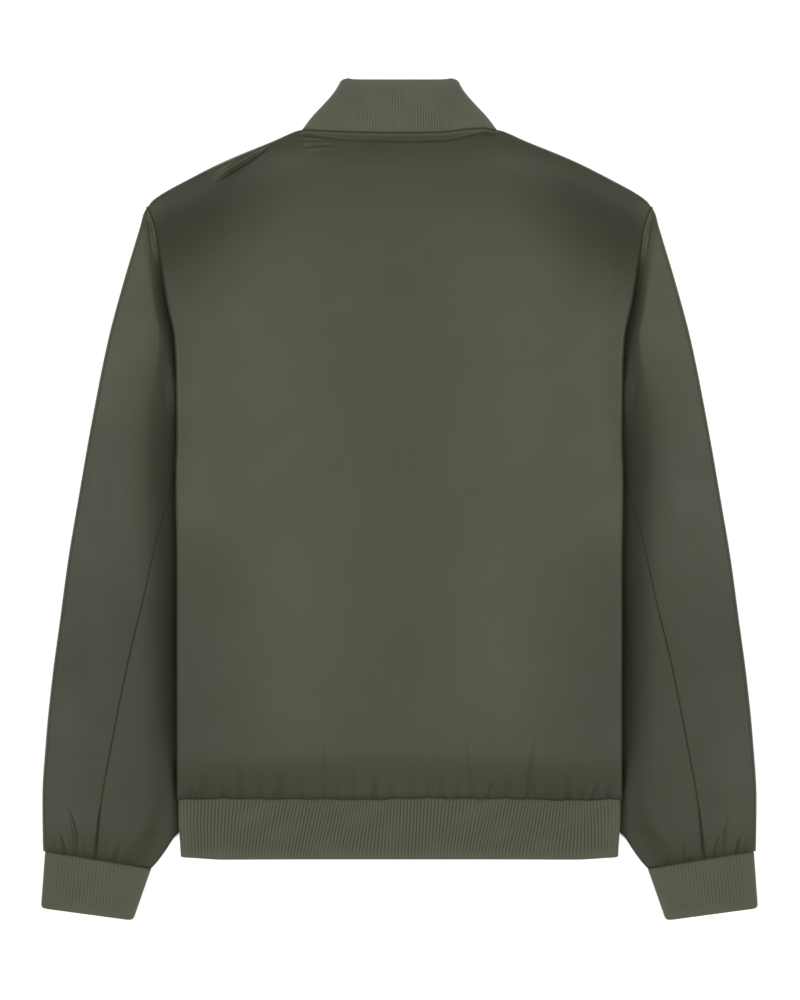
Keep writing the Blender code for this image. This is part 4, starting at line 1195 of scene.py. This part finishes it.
def sleeve_surface(side, s, columns, top, sizes):
    """Outer face of one sleeve piece. columns are (part, share) pairs from its upper to its lower seam."""
    ends = sleeve_ends(s)
    outer_x, outer_y, inner_x, inner_y = (end[:, None] for end in ends)
    length = np.hypot(inner_x - outer_x, inner_y - outer_y)
    ux, uy = (inner_x - outer_x) / length, (inner_y - outer_y) / length
    split = ease((s[:, None] - SLEEVE_SPLIT) / (7.0 - SLEEVE_SPLIT)) if top else np.ones_like(length)
    shown = ease((UNDERARM_Y - 20.0 - inner_y) / 150.0)
    seam_gap = mix(HIDDEN_SEAM_GAP, SLEEVE_SEAM_GAP, shown)
    upper_seam = mix(length, sleeve_seam(ends, 1.0)[:, None], split)
    under_seam = np.minimum(sleeve_seam(ends, UNDER_SEAM_SHARE)[:, None], length - TUCKED_FOLD - 1.0)
    lower_seam = mix(length, under_seam, split)
    to_cuff = inner_y - SLEEVE_SECTIONS[-1].inner_y
    closing = ease((s[:, None] - 5.5) / 3.5)
    if top:
        radius = np.minimum(SLEEVE_ROUND, 0.5 * length)
        centre, turn = radius, -1.0
        upper, lower = upper_seam - seam_gap * split, lower_seam - SLEEVE_SEAM_GAP * split
    else:
        radius = np.full_like(length, TUCKED_FOLD)
        centre, turn = length - radius, 1.0
        upper = np.minimum(upper_seam + seam_gap, centre - 0.4)
        lower = np.minimum(lower_seam + SLEEVE_SEAM_GAP, centre - 0.4)

    def height(distance):
        x, y = outer_x + ux * distance, outer_y + uy * distance
        clear = ease((x - body_half(y) - 2.0) / mix(32.0, 12.0, ramp(y, 60.0, 170.0)))
        inner_side = mix(1.0, ease((length - TUCKED_FOLD - distance) / 34.0), closing)
        low = 0.5 + 0.3 * ease(-y / 120.0)
        outer_side = mix(low, 1.0, ease((distance - SLEEVE_ROUND) / 44.0))
        pull = 0.12 + 0.4 * pillow(to_cuff / 7.0) + 0.48 * pillow(to_cuff / 36.0)
        crown = sizes.sleeve_crown / MM
        return TUCKED + clear * crown * outer_side * pull * inner_side

    half = height(centre) / 2
    part, share = np.array(columns).T[:, None, :]
    on_top, on_fold = part == 0, part == 1
    angle = math.pi / 2 - math.pi * share
    distance = np.where(on_top, mix(upper, centre, share), mix(centre, lower, share))
    distance = np.where(on_fold, centre + turn * radius * np.cos(angle), distance)
    x, y = outer_x + ux * distance, outer_y + uy * distance
    seam_line = near(distance - upper_seam, 1.5) * split
    z_top = height(distance) + drape(side * x + 60.0, y * 1.2) * pillow(to_cuff / 60.0) * 0.8
    z = np.select([on_top, on_fold], [z_top, half + half * np.sin(angle)], 0.0)
    clear = ease((x - body_half(y)) / 4.0)
    rows = LEFT_SLEEVE_FOLDS if side < 0 else RIGHT_SLEEVE_FOLDS
    cuff_rows = LEFT_CUFF_FOLDS if side < 0 else RIGHT_CUFF_FOLDS
    depth = folds(rows, side * x, y) + folds(cuff_rows, side * x, y, from_start=True)
    z = z - depth * clear * on_top - SLEEVE_SEAM_GROOVE * seam_line * shown * on_top
    z = z + 0.6 * np.maximum(depth, 0.0) * (part == 2) * ease((x - along(SLEEVE_INNER, y)) / 20.0)
    blend_in = np.where(on_top, ease(np.abs(distance - centre) / 6.0), 1.0)
    z = np.where(on_top, mix(height(distance), z, blend_in), z)
    if not top:
        tucked = ease((7.0 - s[:, None]) / 0.08)
        z = z + mix(0.0, 1.6, tucked) * np.where(part == 2, 1.0, np.where(on_top, -1.0, -np.sin(angle)))
    ragged = waves(CUFF_SEAM_WAVES, distance) * (1.0 - ease(to_cuff / 9.0))
    # Painted shade in the valley beside the body, on the lower sleeve and along the cuff seam
    recess = sleeve_painted_shade(x, y) * (part < 2) + seam_shade(to_cuff)
    return np.stack([side * x, y + ragged, z], axis=-1), recess


def spread_columns(number, count):
    """Evenly spaced columns over one part of a sleeve piece."""
    return [(number, share) for share in np.linspace(0.0, 1.0, count)]


class JACKET_OT_sleeves(bpy.types.Operator):
    """Lays both sleeves, an outer and an inner piece each"""

    bl_idname = "jacket.sleeves"
    bl_label = "Sleeves"

    def execute(self, context):
        sizes = context.scene.jacket_sizes
        last = len(SLEEVE_SECTIONS) - 1.0
        fold = spread_columns(1, 11)[1:-1]
        top_columns = spread_columns(0, 56) + fold + spread_columns(2, 50)
        under_columns = spread_columns(0, 48) + fold + spread_columns(2, 16)
        top_s = np.append(np.linspace(0.0, 2.0, 14, endpoint=False), np.linspace(2.0, last, 160))
        under_s = np.append(np.linspace(UNDER_START, 7.0, 8, endpoint=False), np.linspace(7.0, last, 130))
        for name, side in SIDES:
            surface = sleeve_surface(side, top_s, top_columns, True, sizes)
            lay_shell(f"sleeve_{name}_cloth", surface, f"sleeve_{name}_top")
            surface = sleeve_surface(side, under_s, under_columns, False, sizes)
            node = f"sleeve_{name}_under"
            lay_shell(f"{node}_cloth", surface, node)
        return {"FINISHED"}


# ---------------------------------------------------------------- sewing
def stitch_row(name, places, cloth, from_above, sizes):
    """A row of lockstitches along places, (x, y) in millimetres, pressed into a cloth's outer face."""
    tree = BVHTree.FromObject(cloth, bpy.context.evaluated_depsgraph_get())
    start, way = (0.1, -1.0) if from_above else (-0.1, 1.0)
    points = []
    for x, y in places:
        hit = tree.ray_cast(Vector((x * MM, y * MM, start)), Vector((0.0, 0.0, way)))[0]
        if hit is not None:
            points.append(hit)
    line = bpy.data.meshes.new(name)
    line.from_pydata(points, [(k, k + 1) for k in range(len(points) - 1)], [])
    piece = add_piece(name, line)
    finish = finish_named("thread_finish")
    bake_nodes(piece, bpy.data.node_groups["seam_stitches"], {
        "Pitch": sizes.stitch_pitch, "Length": sizes.stitch_pitch * 0.8, "Thickness": sizes.stitch_width,
        "Material": finish,
    }, finish)
    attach(piece, "jacket")


class JACKET_OT_sewing(bpy.types.Operator):
    """Stitches down the collar's seam allowance, and the fronts along the zip"""

    bl_idname = "jacket.sewing"
    bl_label = "Sewing"

    def execute(self, context):
        sizes = context.scene.jacket_sizes
        stitch_tree()
        x = np.linspace(-87.0, 87.0, 200)
        y = back_neck(x) - SEAM - along(NECK_TAPE, x) - TAPE_GROOVE_AT
        stitch_row("collar_stitches", zip(x, y), bpy.data.objects["back_cloth"], True, sizes)
        low = HEM_SEAM_Y + 1.0
        for name, side in SIDES:
            at = FRONT_EDGE + STITCH_LINE
            high = float(front_neck(at)) - 1.5
            places = [(side * at, y) for y in np.linspace(low, high, 200)]
            stitch_row(f"zip_stitches_{name}", places, bpy.data.objects[f"front_{name}_cloth"], False, sizes)
        return {"FINISHED"}


# ---------------------------------------------------------------- ribs
def hem_half(y):
    taper = HEM_TAPER * ramp(y, -300.0, -340.0)
    return HEM_HALF - taper - corner_inset(y - HEM_EDGE_Y, HEM_CORNER)


def corner_inset(rest, radius):
    """How far a strip's folded side draws in where it is this close to the free edge."""
    return radius - np.sqrt(radius ** 2 - np.clip(radius - rest, 0.0, radius) ** 2)


def strip_mesh(name, place, widths, heights, pitch, thickness, band):
    """Ribbed strip folded double at its free edge.

    place(width, height, depth) gives a point: width and height in millimetres along the strip and
    from its seam, and depth inwards from its outer face.
    """
    tall = heights[-1]
    turn = np.linspace(0.0, math.pi, 7)
    middle = thickness / 2
    across = [(-LIP, LIP_DEPTH + 0.4, 0.0), (-LIP, LIP_DEPTH, 0.0), (-0.1, LIP_DEPTH, 0.0)]
    across += [(height, 0.0, 1.0) for height in heights if height < tall - middle]
    for angle in turn:
        across.append((tall - middle + middle * math.sin(angle), middle - middle * math.cos(angle),
                       0.6 if angle < 1.0 else 0.0))
    across += [(tall * share, thickness, 0.0) for share in (0.66, 0.33, 0.0)]
    height, depth, share = np.array(across).T[:, None, :]
    width = widths[:, None]
    points = place(width, height, depth)
    whole = np.ones_like(width)
    wale = width / pitch * np.ones_like(height)
    return mesh_from_grid(
        name, points, around=True,
        maps=[("knit", wale, height * MM * whole)],
        marks=[("wale", wale), ("rib_share", share * rib_fade(width, height, band))],
    )


def rib_fade(width, height, band):
    """Ribs are drawn flat at the seam, and lie flat at the turned edge and where the band turns over."""
    fade = band.bold * (0.5 + 0.5 * ease(height / 4.0)) * (0.15 + 0.85 * ease((band.tall - height) / 13.0))
    for turn in band.turns:
        fade = fade * (1.0 - 0.8 * near(width - turn, band.calm))
    uneven = np.sin(width / 11.0 + 2.0 * np.sin(height / 17.0)) * np.sin(height / 8.0 + width / 31.0)
    return np.minimum(fade * (1.0 + 0.35 * uneven), 1.0)


def stretches(seam_half, radius):
    """Lengths of a strip that closes over the front: under each front, round each fold and on top."""
    return seam_half - FRONT_EDGE, math.pi * radius, 2 * seam_half


def round_strip(width, seam_half, radius):
    """Where the points of such a strip lie.

    Gives masks of those on top and on a fold, and each point's side, its place across the top from
    -1 to 1, its angle round the fold, and its share of the way from the zip to the fold.
    """
    under, fold, top = stretches(seam_half, radius)
    off = width - (under + fold + top / 2)
    past = np.abs(off) - top / 2
    angle = math.pi / 2 - math.pi * np.clip(past / fold, 0.0, 1.0)
    share = 1.0 - np.clip((past - fold) / under, 0.0, 1.0)
    return past <= 0, past < fold, np.sign(off), np.clip(2 * off / top, -1.0, 1.0), angle, share


def hem_place(width, height, depth):
    """Point of the hem band: under one front, over the back, and under the other front."""
    y = HEM_SEAM_Y - SEAM - height
    centre = hem_half(y) - FOLD
    seam_half = hem_half(HEM_SEAM_Y) - FOLD
    on_top, on_fold, side, off_middle, angle, share = round_strip(width, seam_half, FOLD)
    down = height / (HEM_SEAM_Y - HEM_EDGE_Y)
    half = (HEM_LAID - RIB_LOW) / 2
    x_top = centre * off_middle + along(HEM_LEAN, off_middle) * (down - 0.5)
    x_fold = side * (centre + (FOLD - depth) * np.cos(angle))
    x = np.select([on_top, on_fold], [x_top, x_fold], side * mix(FRONT_EDGE, centre, share))
    z_top = drape_lift(x, y) + HEM_LAID - depth
    z_fold = lift(centre, y) + RIB_LOW + half + (half - depth) * np.sin(angle)
    z = np.select([on_top, on_fold], [z_top, z_fold], lift(x, y) + RIB_LOW + depth)
    corner = HEM_CORNER_DROP * ramp(np.abs(x), 165.0, 210.0) * down
    wave = hem_seam_wave(x) * (1.0 - down) * on_top
    return np.stack([x, y + wave + corner, z], axis=-1)


def cuff_place(side):
    """Placer of a cuff's points: over the back of the wrist, and back under it."""
    def place(width, height, depth):
        t = height / CUFF_TALL
        outer, inner = ([mix(a, b, t) for a, b in zip(*corner)] for corner in zip(*CUFF_ENDS))
        length = np.hypot(inner[0] - outer[0], inner[1] - outer[1])
        fold = math.pi * FOLD
        flat = math.dist(*CUFF_ENDS[0]) - 2 * FOLD
        turn, at = np.divmod(width, flat + fold)
        over = 1.0 - 2.0 * (turn % 2)  # 1 on top and round the inner fold, and -1 on the way back
        across, angle = np.clip(at / flat, 0.0, 1.0), math.pi * np.clip((at - flat) / fold, 0.0, 1.0)
        fan = CUFF_FAN * t * across ** 2 * (1.0 - across) * (over > 0)
        reach = length / 2 - FOLD - corner_inset(CUFF_TALL - height, CUFF_CORNER)
        off_middle = (2.0 * (across + fan) - 1.0) * reach + (FOLD - depth) * np.sin(angle)
        share = 0.5 + over * off_middle / length
        half = (CUFF_LAID - RIB_LOW) / 2
        z = RIB_LOW + half + (half - depth) * over * np.cos(angle)
        x, y = (mix(a, b, share) for a, b in zip(outer, inner))
        return np.stack(np.broadcast_arrays(side * x, y + CUFF_REACH * (1.0 - t), z), axis=-1)

    return place


def collar_place(width, height, depth):
    """Point of the collar: under one front, round the neck and under the other front."""
    t = height / COLLAR_TALL
    centre = along(COLLAR_SIDE, t) - COLLAR_FOLD
    on_top, on_fold, side, off_middle, angle, share = round_strip(width, COLLAR_SEAM_HALF, COLLAR_FOLD)
    spread = np.minimum(COLLAR_SEAM_HALF / centre - 1.0, RIB_SPREAD)
    half = (COLLAR_LAID - RIB_LOW) / 2
    seam_y = back_neck(COLLAR_SEAM_HALF * off_middle) + SEAM
    under_y = front_neck(mix(FRONT_EDGE, NECK_HALF, share)) + SEAM
    top = (
        centre * off_middle * (1.0 + spread * (1.0 - off_middle ** 2)),
        mix(seam_y, COLLAR_TOP_Y, t) + COLLAR_EARS * t * off_middle ** 6,
        COLLAR_LAID - depth,
    )
    fold = (
        side * (centre + (COLLAR_FOLD - depth) * np.cos(angle)),
        mix(NECK_POINT_Y + SEAM, COLLAR_TOP_Y + COLLAR_EARS, t),
        RIB_LOW + half + (half - depth) * np.sin(angle),
    )
    under = (
        side * mix(FRONT_EDGE, centre, share),
        mix(under_y, COLLAR_TOP_Y - COLLAR_TOP_DROP * (1.0 - share ** 2), t),
        RIB_LOW + depth,
    )
    axes = [np.select([on_top, on_fold], [a, b], c) for a, b, c in zip(top, fold, under)]
    return np.stack(np.broadcast_arrays(*axes), axis=-1)


Band = namedtuple("Band", "length tall flat pitch bold turns calm")


def closed_band(seam_half, radius, tall, flat, pitch, bold, calm):
    """Band for a strip that closes over the front, calm where it turns over at its sides."""
    under, fold, top = stretches(seam_half, radius)
    length, turn = 2 * under + 2 * fold + top, under + fold / 2
    return Band(length, tall, flat, pitch, bold, (turn, length - turn), calm)


def rib_piece(name, node, place, band, sizes):
    """Knits one band: its rib pitch and boldness are shares of the hem band's."""
    pitch, thick = sizes.rib_pitch / MM * band.pitch, sizes.knit_thickness / MM
    ribs = round(band.length / pitch)
    widths = np.linspace(0.0, band.length, ribs * 8 + 1)
    heights = np.linspace(0.0, band.tall, 15)
    mesh = strip_mesh(f"{name}_strip", place, widths, heights, band.length / ribs, thick, band)
    finish = finish_named("knit_finish")
    piece = add_piece(name, mesh, finish)
    wales = {"Relief": sizes.rib_relief, "Material": finish}
    bake_nodes(piece, bpy.data.node_groups["rib_wales"], wales, finish)
    close_ends(piece.data)
    lay(piece, node)


def close_ends(mesh):
    """Joins the meeting ends of a tube, or caps those of a strip."""
    work = bmesh.new()
    work.from_mesh(mesh)
    bmesh.ops.remove_doubles(work, verts=work.verts, dist=0.00002)
    open_edges = [edge for edge in work.edges if edge.is_boundary]
    if open_edges:
        bmesh.ops.holes_fill(work, edges=open_edges, sides=0)
    work.to_mesh(mesh)
    work.free()


class JACKET_OT_ribs(bpy.types.Operator):
    """Knits the collar, cuffs and hem band"""

    bl_idname = "jacket.ribs"
    bl_label = "Rib knit"

    def execute(self, context):
        sizes = context.scene.jacket_sizes
        wale_tree()
        hem = closed_band(
            hem_half(HEM_SEAM_Y) - FOLD, FOLD, HEM_SEAM_Y - HEM_EDGE_Y - SEAM, (0.84, 0.0575), 1.0, 1.0, 14.0
        )
        rib_piece("hem_cloth", "hem_band", hem_place, hem, sizes)
        flat, fold = math.dist(*CUFF_ENDS[0]) - 2 * FOLD, math.pi * FOLD
        length = 2 * flat + 2 * fold
        cuff = Band(length, CUFF_TALL, (0.205, 0.0505), 1.04, 0.48, (0.0, flat + fold / 2, length), 12.0)
        for name, side in SIDES:
            rib_piece(f"cuff_{name}_cloth", f"cuff_{name}", cuff_place(side), cuff, sizes)
        collar = closed_band(COLLAR_SEAM_HALF, COLLAR_FOLD, COLLAR_TALL, (0.37, 0.05), 0.84, 0.5, 18.0)
        rib_piece("collar_cloth", "collar", collar_place, collar, sizes)
        return {"FINISHED"}


class JACKET_OT_zip(bpy.types.Operator):
    """Sets the teeth in the zip and finishes its tapes, slider and pull"""

    bl_idname = "jacket.zip"
    bl_label = "Zip"

    def execute(self, context):
        sizes = context.scene.jacket_sizes
        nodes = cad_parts
        dress = {
            "zip_tape_left": "tape_finish", "zip_tape_right": "tape_finish",
            "zip_slider": "metal_finish", "zip_pull": "metal_finish",
        }
        for node, finish in dress.items():
            for place in nodes[node].material_slots:
                place.material = finish_named(finish)
        low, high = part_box("zip_chain")
        tree = teeth_tree()
        start = (0.0, low.y + sizes.tooth_pitch, (low.z + high.z) / 2)
        count = int((high.y - low.y) / sizes.tooth_pitch) - 1
        finish = finish_named("metal_finish")
        piece = add_piece("zip_teeth", bpy.data.meshes.new("zip_teeth"), finish)
        bake_nodes(piece, tree, {
            "Count": count, "Pitch": sizes.tooth_pitch, "Start": start, "Reach": high.x,
            "Height": high.z - low.z, "Material": finish,
        }, finish)
        piece.data.shade_flat()
        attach(piece, "jacket")
        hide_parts("zip_chain")
        return {"FINISHED"}


class JACKET_OT_stage(bpy.types.Operator):
    """Sets the floor, the soft lights and the camera"""

    bl_idname = "jacket.stage"
    bl_label = "Stage"

    def execute(self, context):
        scene = context.scene
        sizes = scene.jacket_sizes
        scene.view_settings.view_transform = "Standard"
        bpy.ops.mesh.primitive_plane_add(size=FLOOR_SIZE, location=(0.0, 0.0, 0.0))
        floor = context.object
        floor.name = "floor"
        floor.data.materials.append(finish_named("floor_finish"))
        world = bpy.data.worlds.new("studio")
        world.use_nodes = True
        shade = world.node_tree.nodes["Background"]
        shade.inputs["Color"].default_value = (1.0, 1.0, 1.0, 1.0)
        shade.inputs["Strength"].default_value = SKY_STRENGTH
        scene.world = world
        for name, side in SIDES:
            softbox(f"light_{name}", (side * LIGHT_X, 0.0, LIGHT_Z), LIGHT_SIZE, LIGHT_POWER)
        camera = bpy.data.cameras.new("camera")
        camera.sensor_fit = "AUTO"
        camera.sensor_width = SENSOR
        camera.lens = SENSOR * sizes.camera_height / sizes.view_length
        camera.clip_end = 50.0
        holder = bpy.data.objects.new("camera", camera)
        holder.location = (CAMERA_X, 0.0, sizes.camera_height + CLOTH_LEVEL)
        scene.collection.objects.link(holder)
        scene.camera = holder
        return {"FINISHED"}


def softbox(name, place, size, power):
    """Square area light that looks at the jacket's middle."""
    light = bpy.data.lights.new(name, "AREA")
    light.shape = "SQUARE"
    light.size = size
    light.energy = power
    holder = bpy.data.objects.new(name, light)
    holder.location = place
    look = -holder.location.copy()
    holder.rotation_euler = look.to_track_quat("-Z", "Y").to_euler()
    bpy.context.scene.collection.objects.link(holder)


class JACKET_PT_maker(bpy.types.Panel):
    """Sizes, colours and steps of the jacket"""

    bl_idname = "JACKET_PT_maker"
    bl_label = "Jacket"
    bl_space_type = "VIEW_3D"
    bl_region_type = "UI"
    bl_category = "Jacket"

    def draw(self, context):
        for group in (context.scene.jacket_sizes, context.scene.jacket_colours):
            for name in group.__annotations__:
                self.layout.prop(group, name)
        for operator in OPERATORS:
            self.layout.operator(operator.bl_idname)


OPERATORS = [
    JACKET_OT_back, JACKET_OT_fronts, JACKET_OT_sleeves, JACKET_OT_sewing, JACKET_OT_ribs,
    JACKET_OT_zip, JACKET_OT_stage,
]
CLASSES = [JacketSizes, JacketColours, *OPERATORS, JACKET_PT_maker]


def register():
    for made in CLASSES:
        bpy.utils.register_class(made)
    bpy.types.Scene.jacket_sizes = bpy.props.PointerProperty(type=JacketSizes)
    bpy.types.Scene.jacket_colours = bpy.props.PointerProperty(type=JacketColours)


def unregister():
    del bpy.types.Scene.jacket_colours
    del bpy.types.Scene.jacket_sizes
    for made in reversed(CLASSES):
        bpy.utils.unregister_class(made)


def main():
    register()
    bpy.ops.jacket.back()
    bpy.ops.jacket.fronts()
    bpy.ops.jacket.sleeves()
    bpy.ops.jacket.sewing()
    bpy.ops.jacket.ribs()
    bpy.ops.jacket.zip()
    bpy.ops.jacket.stage()


if __name__ == "__main__":
    main()
